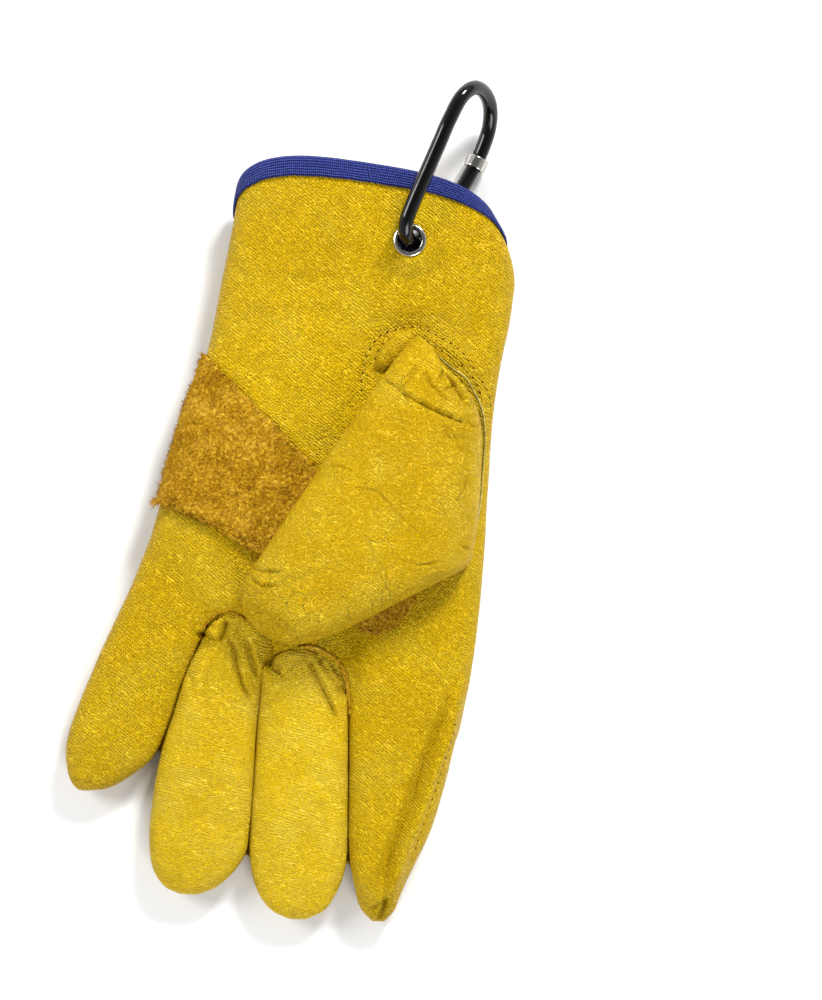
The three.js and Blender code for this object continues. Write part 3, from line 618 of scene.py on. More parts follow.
# where the palm is left open over the two fronts
OPENINGS = [front_outline("ring", ring_root, -0.3), front_outline("middle", middle_root, -0.3)]
under_lap = lap_line()
print("seam outlines:", list(OUTLINES))


# %% Cut the skin
def cut_along(cut, path, low, high):
    """Adds edges to the skin along a path in plan, on faces between two heights."""
    path = np.asarray(path)
    least, most = path.min(0) - 3, path.max(0) + 3
    near = set()
    for face in cut.faces:
        c = face.calc_center_median()
        if least[0] < c.x < most[0] and least[1] < c.y < most[1] and low < c.z < high:
            near.add(face)
    for start, end in zip(path, path[1:]):
        start, end = Vector((*start, 0)), Vector((*end, 0))
        along = (end - start).normalized()
        aside = Vector((-along.y, along.x, 0))
        length = (end - start).length
        chosen = []
        for face in near:
            if face.is_valid:
                c = face.calc_center_median() - start
                if -1.2 < c.dot(along) < length + 1.2 and abs(c.dot(aside)) < 1.2:
                    chosen.append(face)
        geometry = {*chosen, *(e for f in chosen for e in f.edges), *(v for f in chosen for v in f.verts)}
        result = bmesh.ops.bisect_plane(cut, geom=list(geometry), plane_co=start, plane_no=aside, dist=0.05)
        near |= {g for g in result["geom"] if isinstance(g, bmesh.types.BMFace)}


def inside(outline, plan):
    """Whether each place in plan is inside a closed outline."""
    x, y = plan[:, 0], plan[:, 1]
    crossed = np.zeros(len(plan), bool)
    for (x1, y1), (x2, y2) in zip(outline, np.roll(outline, -1, axis=0)):
        if y1 != y2:
            crossed ^= ((y1 > y) != (y2 > y)) & (x < (x2 - x1) * (y - y1) / (y2 - y1) + x1)
    return crossed


STRIPS = ["side_strip_little_ring", "side_strip_ring_middle", "side_strip_middle_index"]


def cut_up(mesh, with_lap=False):
    """A skin cut along its level seams and the seam outlines."""
    made = bmesh.new()
    made.from_mesh(mesh)
    for level in (SEAM_LOW, SEAM_HIGH):
        everything = made.verts[:] + made.edges[:] + made.faces[:]
        bmesh.ops.bisect_plane(made, geom=everything, plane_co=(0, 0, level), plane_no=(0, 0, 1), dist=0.05)
    if with_lap:
        cut_along(made, under_lap, -1, SEAM_LOW)
    else:
        cut_along(made, ring_root, SEAM_LOW, 60)
        cut_along(made, middle_root, SEAM_LOW, 60)
        for name in STRIPS:
            cut_along(made, np.vstack([OUTLINES[name], OUTLINES[name][:1]]), SEAM_LOW, SEAM_HIGH)
    return made


# %% [markdown]
# The fronts of the ring and middle finger are sewn under the palm's edge. Near that seam they are drawn up to
# just below the palm, and what lies beyond it dips away inside the glove.

# %% Draw the finger fronts up to the palm's edge
UNDER_PALM = 0.9  # how far below the palm's face a front is sewn in
MOST_DRAWN, DIPS_AWAY = 3, 2.5  # the most that a front is drawn up, and how far it dips beyond the seam


def tree_of(mesh):
    """The mesh's faces, sorted so that a ray finds them fast."""
    return bvhtree.BVHTree.FromPolygons(coordinates(mesh).tolist(), [p.vertices[:] for p in mesh.polygons])


def top_at(tree, x, y, otherwise):
    hit = tree.ray_cast(Vector((x, y, 100)), Vector((0, 0, -1)))
    return hit[0].z if hit[0] is not None else otherwise


palm_tree = tree_of(skins["palm_side"])
for finger, root in (("ring", ring_root), ("middle", middle_root)):
    mesh = skins[finger]
    own_tree = tree_of(mesh)
    short = np.array([top_at(palm_tree, x, y, 14.0) - UNDER_PALM - top_at(own_tree, x, y, 13.0) for x,
                      y in root])
    short = np.clip(short, -MOST_DRAWN, MOST_DRAWN)
    points, normals = coordinates(mesh), normals_of(mesh)
    gap = np.linalg.norm(points[:, None, :2] - root[None], axis=2)
    away, nearest = gap.min(1), gap.argmin(1)
    within = inside(OUTLINES[finger + "_finger_front"], points[:, :2])
    upper = np.clip(normals[:, 2], 0, 1) ** 0.5
    points[:, 2] += upper * short[nearest] * np.exp(-((away / 5) ** 2))
    points[:, 2] -= upper * np.where(within, 0, DIPS_AWAY * smooth_rise(away, 0, 2.5))
    move_points(mesh, points)
    print(finger, "front drawn up by", short.min().round(1), "to", short.max().round(1), "mm")

# %% Sort the cut skins' faces into panels
PUNCHED = 4.9  # radius of the hole that is punched for the eyelet
behind = np.vstack([under_lap, [(-110, -160), (-110, 150)]])
rim_t = np.linspace(-PAST_RIM, 3, 61)
sample_t, sample_turn = [g.ravel() for g in np.meshgrid(rim_t,
                                                        np.linspace(0, FULL_TURN, 160, endpoint=False))]
samples = kdtree.KDTree(len(sample_t))
for i, point in enumerate(hand_form(sample_t, sample_turn)):
    samples.insert(point, i)
samples.balance()


def owners(made, source):
    """The panel that each face of a cut skin belongs to; None for what isn't used."""
    centres = np.array([f.calc_center_median() for f in made.faces])
    plan, height = centres[:, :2], centres[:, 2]
    high = height > SEAM_LOW
    owner = np.full(len(centres), None, dtype=object)
    if source == "back_side":
        owner[~high] = "palm_panel"
        owner[~high & inside(behind, plan)] = "back_panel"
    elif source == "palm_side":
        owner[high] = "palm_panel"
        for outline in OPENINGS:
            owner[high & inside(outline, plan)] = None
    else:
        name = source + "_finger_front"
        owner[high & inside(OUTLINES[name], plan)] = name
    if source != "back_side":
        for name in STRIPS:
            between = high & (height < SEAM_HIGH) & inside(OUTLINES[name], plan)
            owner[between & np.not_equal(owner, None)] = name
    for i in np.nonzero(centres[:, 1] > 80)[0]:
        if sample_t[samples.find(centres[i])[1]] < 0:
            owner[i] = None  # past the cuff's rim
    from_axis = centres - eyelet_centre
    from_axis = np.linalg.norm(from_axis - np.outer(from_axis @ eyelet_axis, eyelet_axis), axis=1)
    owner[(from_axis < PUNCHED) & (height > SEAM_HIGH)] = None
    return owner


panel_parts = {}
for source, mesh in skins.items():
    made = cut_up(mesh, with_lap=source == "back_side")
    owner = owners(made, source)
    for name in sorted({o for o in owner if o}):
        part = made.copy()
        part.faces.ensure_lookup_table()
        others = [f for f, own in zip(part.faces, owner) if own != name]
        bmesh.ops.delete(part, geom=others, context="FACES")
        piece = bpy.data.meshes.new(name)
        part.to_mesh(piece)
        part.free()
        panel_parts.setdefault(name, []).append(piece)
    made.free()
print({name: sum(len(m.polygons) for m in parts) for name, parts in panel_parts.items()})


# %% [markdown]
# ## Materials
# Work-glove leather is cowhide dyed through and lightly coated. Its grain side shows pebbles about a
# millimetre wide, a net of fine cracks and some cloudiness; the pale lines of the grain are largely painted
# highlights. The flesh side is the raw fibre: matt, orange-brown and rough. Each material is named for what it
# is. Patterns read Object coordinates, which are metres here, so a scale of 1000 makes one cell per millimetre.

# %% Grain leather
def grain_leather(name, dark, middle, light, slant, waves, creases, cell=0.75, relief=0.00036, contrast=0.5):
    """Coated grain leather: warm yellow and half matt. Fine waves that run at a slant and small pebbles (size
    in millimetres) give it its tooth. Pale lines along the pebbles' edges and on the crests of the waves are
    painted highlights, where light would glint on the grain. Pale lines in long creases about a centimetre
    apart are partly cracks in the finish and partly painted highlight; the creases are also real grooves."""
    made, tree = blank_material(name)
    place = add(tree, "ShaderNodeTexCoord").outputs["Object"]
    wander = add(tree, "ShaderNodeTexNoise",
                 {"Vector": place, "Scale": 150.0, "Detail": 2.0}).outputs["Color"]
    bent = add(tree, "ShaderNodeVectorMath", {0: wander, 1: (0.0012,) * 3, 2: place},
               operation="MULTIPLY_ADD").outputs[0]
    slanted = add(tree, "ShaderNodeMapping",
                  {"Vector": bent, "Rotation": (0, 0, slant), "Scale": (2.5, 1, 1)},
                  vector_type="TEXTURE").outputs[0]
    ripple = add(tree, "ShaderNodeTexWave",
                 {"Vector": slanted, "Scale": 340.0, "Distortion": 8.0, "Detail": 2.0, "Detail Scale": 0.45,
                  "Detail Roughness": 0.6}, bands_direction="Y").outputs["Fac"]
    net = add(tree, "ShaderNodeTexVoronoi", {"Vector": slanted, "Scale": 1000 / cell},
              feature="DISTANCE_TO_EDGE").outputs[0]
    pebble = add(tree, "ShaderNodeMapRange", {"Value": net, 1: 0.0, 2: 0.25},
                 interpolation_type="SMOOTHSTEP").outputs[0]
    patches = add(tree, "ShaderNodeTexNoise", {"Vector": place, "Scale": 60.0, "Detail": 3.0}).outputs["Fac"]
    shown = add(tree, "ShaderNodeMapRange", {"Value": patches, 1: 0.35, 2: 0.65, 3: 0.5, 4: 1.0}).outputs[0]
    drift = add(tree, "ShaderNodeTexNoise", {"Vector": place, "Scale": 45.0, "Detail": 3.0}).outputs["Color"]
    swung = add(tree, "ShaderNodeVectorMath", {0: drift, 1: (0.02,) * 3, 2: place},
                operation="MULTIPLY_ADD").outputs[0]
    drawn = add(tree, "ShaderNodeMapping", {"Vector": swung, "Rotation": (0, 0, slant), "Scale": (1.7, 1, 1)},
                vector_type="TEXTURE").outputs[0]
    plates = add(tree, "ShaderNodeTexVoronoi", {"Vector": drawn, "Scale": 120.0},
                 feature="DISTANCE_TO_EDGE").outputs[0]
    crack = add(tree, "ShaderNodeMapRange", {"Value": plates, 1: 0.0, 2: 0.03, 3: 1.0, 4: 0.0},
                interpolation_type="SMOOTHSTEP").outputs[0]
    worn = add(tree, "ShaderNodeTexNoise", {"Vector": place, "Scale": 55.0, "Detail": 1.0}).outputs["Fac"]
    worn = add(tree, "ShaderNodeMapRange", {"Value": worn, 1: 0.42, 2: 0.58}).outputs[0]
    cracks = add(tree, "ShaderNodeMath", {0: crack, 1: worn}, operation="MULTIPLY").outputs[0]
    dust = add(tree, "ShaderNodeTexNoise",
               {"Vector": place, "Scale": 1900.0, "Detail": 2.0, "Roughness": 0.7}).outputs["Fac"]
    height = add(tree, "ShaderNodeMath", {0: dust, 1: 0.3, 2: pebble}, operation="MULTIPLY_ADD").outputs[0]
    tooth = add(tree, "ShaderNodeMath", {0: ripple, 1: shown}, operation="MULTIPLY").outputs[0]
    height = add(tree, "ShaderNodeMath", {0: tooth, 1: waves, 2: height}, operation="MULTIPLY_ADD").outputs[0]
    height = add(tree, "ShaderNodeMath", {0: cracks, 1: -creases, 2: height},
                 operation="MULTIPLY_ADD").outputs[0]
    relief_node = add(tree, "ShaderNodeBump", {"Height": height, "Distance": relief, "Strength": 1.0})
    # painted highlight: the crests of the fine waves are drawn in the pale colour, as if light caught them
    painted_crest_highlight = add(tree, "ShaderNodeMapRange", {"Value": tooth, 1: 0.7, 2: 0.95, 3: 0.0, 4: 0.75}).outputs[0]
    # painted highlight: the edges of the pebbles are drawn as thin pale lines, as if light glinted on them
    line = add(tree, "ShaderNodeMapRange", {"Value": net, 1: 0.0, 2: 0.1, 3: 1.0, 4: 0.0}).outputs[0]
    line = add(tree, "ShaderNodeMath", {0: line, 1: shown}, operation="MULTIPLY").outputs[0]
    lines = add(tree, "ShaderNodeMath", {0: line, 1: painted_crest_highlight}, operation="MAXIMUM").outputs[0]
    # the long creases are drawn pale: partly cracks in the finish, partly painted highlight
    crack_tint_and_highlight = add(tree, "ShaderNodeMath", {0: cracks, 1: 0.35 * creases}, operation="MULTIPLY").outputs[0]
    lines = add(tree, "ShaderNodeMath", {0: lines, 1: crack_tint_and_highlight}, operation="MAXIMUM").outputs[0]
    # the painted highlights and the pale crack colour, at the given contrast, draw the body towards the pale
    # colour
    glint_and_crack_tint = add(tree, "ShaderNodeMath", {0: lines, 1: contrast}, operation="MULTIPLY").outputs[0]
    clouds = add(tree, "ShaderNodeTexNoise", {"Vector": place, "Scale": 24.0, "Detail": 2.0}).outputs["Fac"]
    tone = add(tree, "ShaderNodeMath", {0: clouds, 1: 0.3, 2: dust}, operation="MULTIPLY_ADD").outputs[0]
    cloudy = add(tree, "ShaderNodeMapRange", {"Value": tone, 1: 0.45, 2: 0.8, 3: 0.0, 4: 1.0}).outputs[0]
    body = add(tree, "ShaderNodeMix", {0: cloudy, 6: linear(dark), 7: linear(middle)},
               data_type="RGBA").outputs[2]
    colour = add(tree, "ShaderNodeMix", {0: glint_and_crack_tint, 6: body, 7: linear(light)}, data_type="RGBA").outputs[2]
    gloss = add(tree, "ShaderNodeMapRange", {"Value": dust, 1: 0.3, 2: 0.7, 3: 0.34, 4: 0.5}).outputs[0]
    shader = add(tree, "ShaderNodeBsdfPrincipled", {
        "Base Color": colour, "Roughness": gloss, "Specular IOR Level": 0.36,
        "Specular Tint": linear("#ffd840"),
        "Normal": relief_node.outputs[0]})
    add(tree, "ShaderNodeOutputMaterial", {"Surface": shader.outputs[0]})
    return made


# the third colour of each leather is the pale colour of its painted highlights and cracks
palm_leather = grain_leather("yellow_grain_cowhide", "#b88f00", "#d9b000", "#ffe850", -0.7, 1.0, 0.4,
                             relief=0.00052)
front_leather = grain_leather("pale_grain_cowhide", "#c8a004", "#e6bf0c", "#fff070", -0.3, 0.8, 0.35,
                              cell=0.7, relief=0.00044)
thumb_leather = grain_leather("smooth_grain_cowhide", "#b48800", "#d2a800", "#ffea50", -0.6, 0.45, 2.0,
                              cell=0.65,
                              relief=0.0004, contrast=0.6)
print("leathers:", palm_leather.name, front_leather.name, thumb_leather.name)


# %% Suede
def suede(name, dark, middle, light, nap=1.0):
    """The raw flesh side of hide: quite matt, with curled tufts of fibre that catch the light one by one."""
    made, tree = blank_material(name)
    place = add(tree, "ShaderNodeTexCoord").outputs["Object"]
    swirl = add(tree, "ShaderNodeTexNoise", {"Vector": place, "Scale": 700.0, "Detail": 2.0}).outputs["Color"]
    curled = add(tree, "ShaderNodeVectorMath", {0: swirl, 1: (0.0016,) * 3, 2: place},
                 operation="MULTIPLY_ADD").outputs[0]
    fibres = add(tree, "ShaderNodeTexNoise",
                 {"Vector": curled, "Scale": 1000.0 / nap, "Detail": 5.0, "Roughness": 0.65,
                                              "Distortion": 0.6}).outputs["Fac"]
    patchy = add(tree, "ShaderNodeTexNoise", {"Vector": place, "Scale": 110.0, "Detail": 3.0}).outputs["Fac"]
    tone = add(tree, "ShaderNodeMath", {0: patchy, 1: 0.35, 2: fibres}, operation="MULTIPLY_ADD").outputs[0]
    low = add(tree, "ShaderNodeMapRange", {"Value": tone, 1: 0.5, 2: 0.68}).outputs[0]
    high = add(tree, "ShaderNodeMapRange", {"Value": tone, 1: 0.68, 2: 0.86}).outputs[0]
    deep = add(tree, "ShaderNodeMix", {0: low, 6: linear(dark), 7: linear(middle)},
               data_type="RGBA").outputs[2]
    colour = add(tree, "ShaderNodeMix", {0: high, 6: deep, 7: linear(light)}, data_type="RGBA").outputs[2]
    relief = add(tree, "ShaderNodeBump", {"Height": fibres, "Distance": 0.0009, "Strength": 1.0})
    shader = add(tree, "ShaderNodeBsdfPrincipled", {
        "Base Color": colour, "Roughness": 0.95, "Specular IOR Level": 0.15, "Normal": relief.outputs[0]})
    add(tree, "ShaderNodeOutputMaterial", {"Surface": shader.outputs[0]})
    return made


patch_suede = suede("split_cowhide_suede", "#744e00", "#b38406", "#e8bc3c")
flesh_side = suede("flesh_side_of_cowhide", "#5c3a02", "#996c0a", "#c89a30")
print("suedes:", patch_suede.name, flesh_side.name)

# %% [markdown]
# ## Panels with a thickness
# Each panel becomes its own object. A Solidify modifier gives it the leather's thickness towards the inside,
# and its second material shows the flesh side there and on the cut edges.

# %% Make the panels
def settled(mesh):
    """Takes a mesh from millimetres to metres."""
    mesh.transform(Matrix.Scale(0.001, 4))
    for polygon in mesh.polygons:
        polygon.use_smooth = True
    mesh.update()
    return mesh


def dressed(name, mesh, materials, nodes, thickness=None, inner=0):
    """A finished piece: it rides on the glove and takes the place of CAD nodes."""
    made = linked(name, settled(mesh))
    for material in materials:
        made.data.materials.append(material)
    if thickness:
        wall = made.modifiers.new("wall", "SOLIDIFY")
        wall.thickness = thickness / 1000
        wall.offset = -1
        wall.use_even_offset = False
        wall.material_offset = inner
        wall.material_offset_rim = inner
    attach(made, "root")
    if nodes:
        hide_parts(*nodes)
    return made


PANELS = {
    "back_panel": (palm_leather, "grain_leather"), "palm_panel": (palm_leather, "grain_leather"),
    "ring_finger_front": (front_leather, "finger_leather"),
    "middle_finger_front": (front_leather, "finger_leather"),
    "side_strip_little_ring": (palm_leather, "grain_leather"),
    "side_strip_ring_middle": (palm_leather, "grain_leather"),
    "side_strip_middle_index": (palm_leather, "grain_leather"),
}
for name, (leather, slot) in PANELS.items():
    made = dressed("leather_" + name, joined(name, panel_parts[name]), [leather, flesh_side], [name],
                   LEATHER, 1)
    print(made.name, len(made.data.polygons), "faces")


# %% [markdown]
# ## Thumb
# The thumb is a pouch folded flat over the palm. It is its own tube: a straight fold on its left, and a sewn
# edge on its right. It follows the palm below it, so its height is measured from there. Its inside can't be
# seen, so it stays a closed form without a wall.

# %% Height of the palm
STEP = 2.0  # spacing of the places where the height is taken
LEAST = 12.0  # the lowest height that carries the thumb
xs, ys = np.arange(-40, 82, STEP), np.arange(-60, 70, STEP)
below = np.array([max(top_at(palm_tree, x, y, LEAST), LEAST) for y in ys for x in xs]).reshape(len(ys),
                                                                                               len(xs))
for _ in range(6):  # a thumb bridges small dents, so the heights are evened out
    padded = np.pad(below, 1, mode="edge")
    below = (padded[:-2, 1:-1] + padded[2:, 1:-1] + padded[1:-1, :-2] + padded[1:-1, 2:] + below * 2) / 6


def even_palm(x, y):
    column, line = np.clip((x - xs[0]) / STEP, 0, len(xs) - 1.01), np.clip((y - ys[0]) / STEP, 0,
                                                                           len(ys) - 1.01)
    i, j = column.astype(int), line.astype(int)
    f, g = column - i, line - j
    low = below[j, i] * (1 - f) + below[j, i + 1] * f
    high = below[j + 1, i] * (1 - f) + below[j + 1, i + 1] * f
    return low * (1 - g) + high * g


print("palm heights:", below.min().round(1), below.max().round(1))

# %% The thumb's form
THUMB_START = np.array([38, 69.7]) + SHIFT[:2]
TO_TIP, ACROSS = np.array([-0.565, -0.825]), np.array([0.825, -0.565])
# distance along the fold, distances of both edges from it, and how far the thumb stands up off the palm
THUMB = [
    (-3.3, 2.2, 4.2, 5.5), (-2.4, 1.4, 8, 7.8), (0.3, 0.6, 15.5, 9.3), (3.5, 0.2, 28.5, 10),
    (11, 0, 38, 11.3), (23, 0, 46, 12), (35, 0, 53, 12.5), (46, 0, 58.5, 12.5),
    (53, 0, 59.5, 12.5), (64, 0, 54, 12.5), (76, 0, 47.5, 12.5), (88, 0, 41, 12), (99, 0, 34.3, 11.5),
    (104.5, 1.8, 30, 10), (108.5, 6.5, 25.5, 7.5), (110.8, 12.5, 19.5, 4), (111.3, 15, 17, 0.3),
]
TOP_SHARE = 0.72  # share of the columns spent on the upper face
WAIST = 0.32  # height of its widest line, as a share of its rise


def thumb_form(t, turn):
    along, left, right, rise = rows_at(THUMB, t)
    up = np.sin(turn)
    off = (left + right) / 2 + signed_power(np.cos(turn), WALL_POWER) * (right - left) / 2
    plan = THUMB_START + along[:, None] * TO_TIP + off[:, None] * ACROSS
    clear = 0.6 + 1.5 * smooth_rise(along - 0.4 * off, 6, 26)
    waist = WAIST * rise
    height = np.where(up > 0, (rise - waist) * signed_power(up, 0.8), waist * signed_power(up, FLOOR_POWER))
    return np.column_stack([plan, even_palm(plan[:, 0], plan[:, 1]) + clear + waist + height])


WELT = [(50.5, 50.5), (55.5, 46), (60.5, 42.5), (63.5, 37), (66, 31.5), (66.6, 25), (66.6, 18.5), (65.8, 10),
        (65.2, 1.5),
        (64.2, -5), (62.8, -12), (61.8, -19.5)]
THUMB_FOLDS = [
    ([(29, 44), (34, 41.5), (40, 37), (46.5, 33.5), (51.5, 31), (59, 28), (68, 25)], 0.65, 1.6),
    ([(45.5, 47), (48.5, 40.5), (51.5, 37.5), (55, 33.5)], 0.7, 1.2),
    ([(50.5, 50.5), (54.5, 44.5), (57, 39.5), (59.5, 36), (60, 33.5)], 0.8, 2.0),
    ([(52.5, 26.5), (54.5, 23), (62, 22)], 0.6, 1.0), ([(56.5, 23), (59, 18.5), (65, 15)], 0.6, 1.1),
    ([(35, 39.5), (37.5, 32), (39, 23.5), (42, 17.5), (45.5, 12.5)], 0.42, 0.5),
    ([(45.5, 12.5), (51.5, 13.5), (58.5, 12.5), (64.5, 12.5)], 0.42, 0.5),
    ([(45.5, 12.5), (50.5, 7.5), (55, 1.5), (59, -3.5)], 0.42, 0.5),
    ([(18, 6.5), (24.5, 5.5), (30.5, 4.5), (35.5, -1), (40, -6), (45, -10), (50.5, -18.5)], 0.42, 0.5),
    ([(56.5, 6.5), (60, 7), (64, 7)], 0.5, 0.8), ([(55.5, 1.5), (59.5, 1.5), (63, -0.5)], 0.5, 0.8),
    ([(23, 35.5), (30, 32.5), (34, 33.5)], 0.42, 0.5),
    ([(31.5, -13.5), (38, -18.5), (45, -20.5), (51.5, -19.5)], 0.42, 0.5),
    ([(20, 27), (27, 24), (33, 20), (38, 15)], 0.42, 0.5), ([(12, 12), (18, 13), (24, 10)], 0.42, 0.5),
    ([(4, -2), (12, -4), (20, -3)], 0.42, 0.5), ([(38, 38), (42, 43), (44, 48)], 0.45, 0.5),
    ([(-13, -21), (-8.5, -22.5), (-0.5, -23)], 0.6, 0.9),
    ([(-13.5, -24.5), (-8.5, -27.5), (-2.5, -27.5)], 0.6, 0.9),
    *puckers(WELT, 4.3, 8, 0.5, 0.85, -1, 21),
]


def pouch_form(u, v):
    on_top = u < TOP_SHARE
    turn = np.where(on_top, u / TOP_SHARE / 2, 0.5 + (u - TOP_SHARE) / (1 - TOP_SHARE) / 2) * FULL_TURN
    return thumb_form(v * (len(THUMB) - 1), turn)


thumb = rolled("thumb", 400, 225, pouch_form)
points, normals = coordinates(thumb), normals_of(thumb)
upper = np.clip(normals[:, 2], 0, 1) ** 0.5
lift = folded(points, upper, THUMB_FOLDS)
lift += upper * (0.5 * waviness(points, 20, 5.3) + 0.2 * waviness(points, 6, 8.9))
points += normals * lift[:, None]
move_points(thumb, points)
thumb_tree = tree_of(thumb)

# %% [markdown]
# Where the pouch is folded over, a lobe of its back sticks out at the top left, and its sewn edge shows on
# the right as a thin welt.

# %% Lobe and welt
LOBE = [
    (25.5, 58.1, 28.5, 57.1, 14, 18, 19.5), (26.3, 61.6, 32, 60.1, 14, 19, 22.6),
    (28, 66.1, 35.5, 63.6, 14, 19, 24),
    (31.5, 70.4, 38.5, 66.6, 14, 19, 24.6), (35.5, 72.6, 40.5, 69.1, 14, 19, 24.4),
    (38.5, 72.6, 40.5, 70.8, 15, 19, 22),
]
lobe = rolled("lobe", 60, 60, lambda u, v: loft(LOBE, v * (len(LOBE) - 1), u * FULL_TURN))
made = dressed("leather_thumb", joined("pouch", [thumb, lobe]), [thumb_leather], ["thumb"])
print(made.name, len(made.data.polygons), "faces")


def strand(name, path, width, height, roughness=0.0):
    """A tube of oval section along points in space, with an uneven surface."""
    path = np.array(path, float)
    steps = np.linspace(0, 1, len(path))
    slopes = np.gradient(path, axis=0)

    def form(u, v):
        here = np.stack([np.interp(v, steps, path[:, k]) for k in range(3)], 1)
        tangent = np.stack([np.interp(v, steps, slopes[:, k]) for k in range(3)], 1)
        tangent /= np.linalg.norm(tangent, axis=1)[:, None]
        side = np.cross(tangent, [0, 0, 1])
        side /= np.linalg.norm(side, axis=1)[:, None]
        angle = (u * FULL_TURN)[:, None]
        end = np.clip(np.minimum(v, 1 - v) * len(path) / 2, 0.25, 1)[:, None]
        around = (np.cos(angle) * side * width + np.sin(angle) * np.cross(side, tangent) * height) / 2 * end
        return here + around * (1 + roughness * waviness(here + around * 2, 1.3, 6.4))[:, None]

    return rolled(name, 12, len(path) - 1, form)


def on_surface(tree, path, step, lift):
    """The path laid on a surface from above, a little off it."""
    return [(x, y, top_at(tree, x, y, 20.0) + lift) for x, y in smooth_path(path, step)]


WELT_SHIFT, WELT_LIFT = (0.45, 0.2), 3.0  # how far out from the sewn edge it shows, and up off the palm
welt_path = smooth_path(on_surface(palm_tree, np.array(WELT) + WELT_SHIFT, 6, WELT_LIFT), 0.8)
cut_edge = suede("cut_edge_of_cowhide", "#80742a", "#b8a94c", "#dccf88")
made = dressed("thumb_welt", strand("welt", welt_path, 0.85, 3.6, 0.3), [cut_edge], [])
print(made.name, len(made.data.polygons), "faces")

# %% Raw edges at the finger roots
# line in plan, width and height of each strip of raw edge
RAW_EDGES = {
    "ring_root": ([(-31, -46), (-28.8, -41.5), (-24, -37.2), (-19, -37), (-15, -39.5)], 0.9, 1.2),
    "middle_root": ([(3, -48.8), (7.5, -48.6), (12.5, -50.5), (17, -54), (19.6, -60), (20.6, -67),
                     (20.9, -73)], 1.5, 1.6),
}
for name, (path, width, height) in RAW_EDGES.items():
    edge_path = smooth_path(on_surface(palm_tree, path, 2, -0.1), 0.5)
    dressed("raw_edge_" + name, strand(name, edge_path, width, height, 0.5), [patch_suede], [])
print("raw edges:", list(RAW_EDGES))

# %% [markdown]
# ## Stitches
# Every seam is sewn with thick polyester thread. From above each stitch shows as a short bulge of thread with
# a needle hole at each end. Both are small squashed spheres, laid on the leather by casting a ray down
# on it, and each row is one mesh. The holes aren't cut: each is a dark bead, painted shade where the hole would
# be.


# %% Thread and needle holes
def twisted_thread(name, dark, light):
    """Sewing thread: matt, with fibres that show as fine light and dark streaks."""
    made, tree = blank_material(name)
    place = add(tree, "ShaderNodeTexCoord").outputs["Object"]
    streaks = add(tree, "ShaderNodeTexNoise",
                  {"Vector": place, "Scale": 3500.0, "Detail": 2.0}).outputs["Fac"]
    shares = add(tree, "ShaderNodeMapRange", {"Value": streaks, 1: 0.35, 2: 0.65}).outputs[0]
    colour = add(tree, "ShaderNodeMix", {0: shares, 6: linear(dark), 7: linear(light)},
                 data_type="RGBA").outputs[2]
    relief = add(tree, "ShaderNodeBump", {"Height": streaks, "Distance": 0.00006, "Strength": 1.0})
    shader = add(tree, "ShaderNodeBsdfPrincipled", {
        "Base Color": colour, "Roughness": 0.7, "Specular IOR Level": 0.2, "Normal": relief.outputs[0]})
    add(tree, "ShaderNodeOutputMaterial", {"Surface": shader.outputs[0]})
    return made


yellow_thread = twisted_thread("yellow_polyester_thread", "#9c7708", "#d8b42a")
# painted shade: a dark material for the beads that stand in for needle holes and pits
needle_hole_shade = suede("needle_hole_painted_shade", "#2a1b03", "#3d2a05", "#5c420a")


def row_on(tree, path, pitch):
    """Places on a surface below a path: point, direction along the path, and outward direction."""
    line = smooth_path(path, pitch)
    places = []
    for here, slope in zip(line, np.gradient(line, axis=0)):
        point, normal = tree.ray_cast(Vector((*here, 100)), Vector((0, 0, -1)))[:2]
        if point is not None:
            places.append((point, Vector((*slope, 0)).normalized(), normal))
    return places


def beads(name, places, length, width, height, shift=0.0):
    """A squashed sphere at each place, moved along the row by a share of its pitch."""
    made = bmesh.new()
    for (here, along, normal), (beyond, *_) in zip(places, places[1:] + places[-1:]):
        aside = normal.cross(along).normalized()
        forward = aside.cross(normal)
        shape = Matrix((forward * length / 2, aside * width / 2, normal * height / 2)).transposed().to_4x4()
        shape.translation = here.lerp(beyond, shift)
        bmesh.ops.create_uvsphere(made, u_segments=8, v_segments=5, radius=1, matrix=shape)
    mesh = bpy.data.meshes.new(name)
    made.to_mesh(mesh)
    made.free()
    return mesh


# %% Sew the rows
PITCH = 2.9  # from one needle hole to the next
# length, width and height of a stitch, a needle hole and a pit left by a needle
THREAD_SIZE, HOLE_SIZE, PIT_SIZE = (PITCH * 0.8, 0.6, 0.5), (0.85, 0.6, 0.3), (0.5, 0.5, 0.15)
sewn = {
    "thumb_outer": row_on(palm_tree, OUTER_ROW, PITCH), "thumb_inner": row_on(palm_tree, INNER_ROW, PITCH),
    "palm_patch": row_on(palm_tree, PATCH_ROW, PITCH), "index_finger": row_on(palm_tree, INDEX_ROW, PITCH),
}
# each row gets thread beads, and dark beads that are painted shade for the needle holes
for row, places in sewn.items():
    dressed("thread_" + row, beads("thread", places, *THREAD_SIZE, 0.5), [yellow_thread], [])
    dressed("holes_" + row, beads("holes", places, *HOLE_SIZE), [needle_hole_shade], [])
# the pits on the thumb tip are dark beads too: painted shade
pits = [row_on(thumb_tree, [(x, y), (x + 1, y)], 1)[0] for x, y in NEEDLE_PITS]
dressed("holes_thumb_tip", beads("holes", pits, *PIT_SIZE), [needle_hole_shade], [])
print("stitches:", {row: len(places) for row, places in sewn.items()})

# %% [markdown]
# ## Suede patch
# A piece of split hide is sewn over the palm to take wear. Its upper edge is cut clean, its end at the outer
# side hangs over the edge of the hand and frays, and its nap stands up in tufts. It is lifted off a copy of
# the skin, with finer squares so that the tufts are real relief.

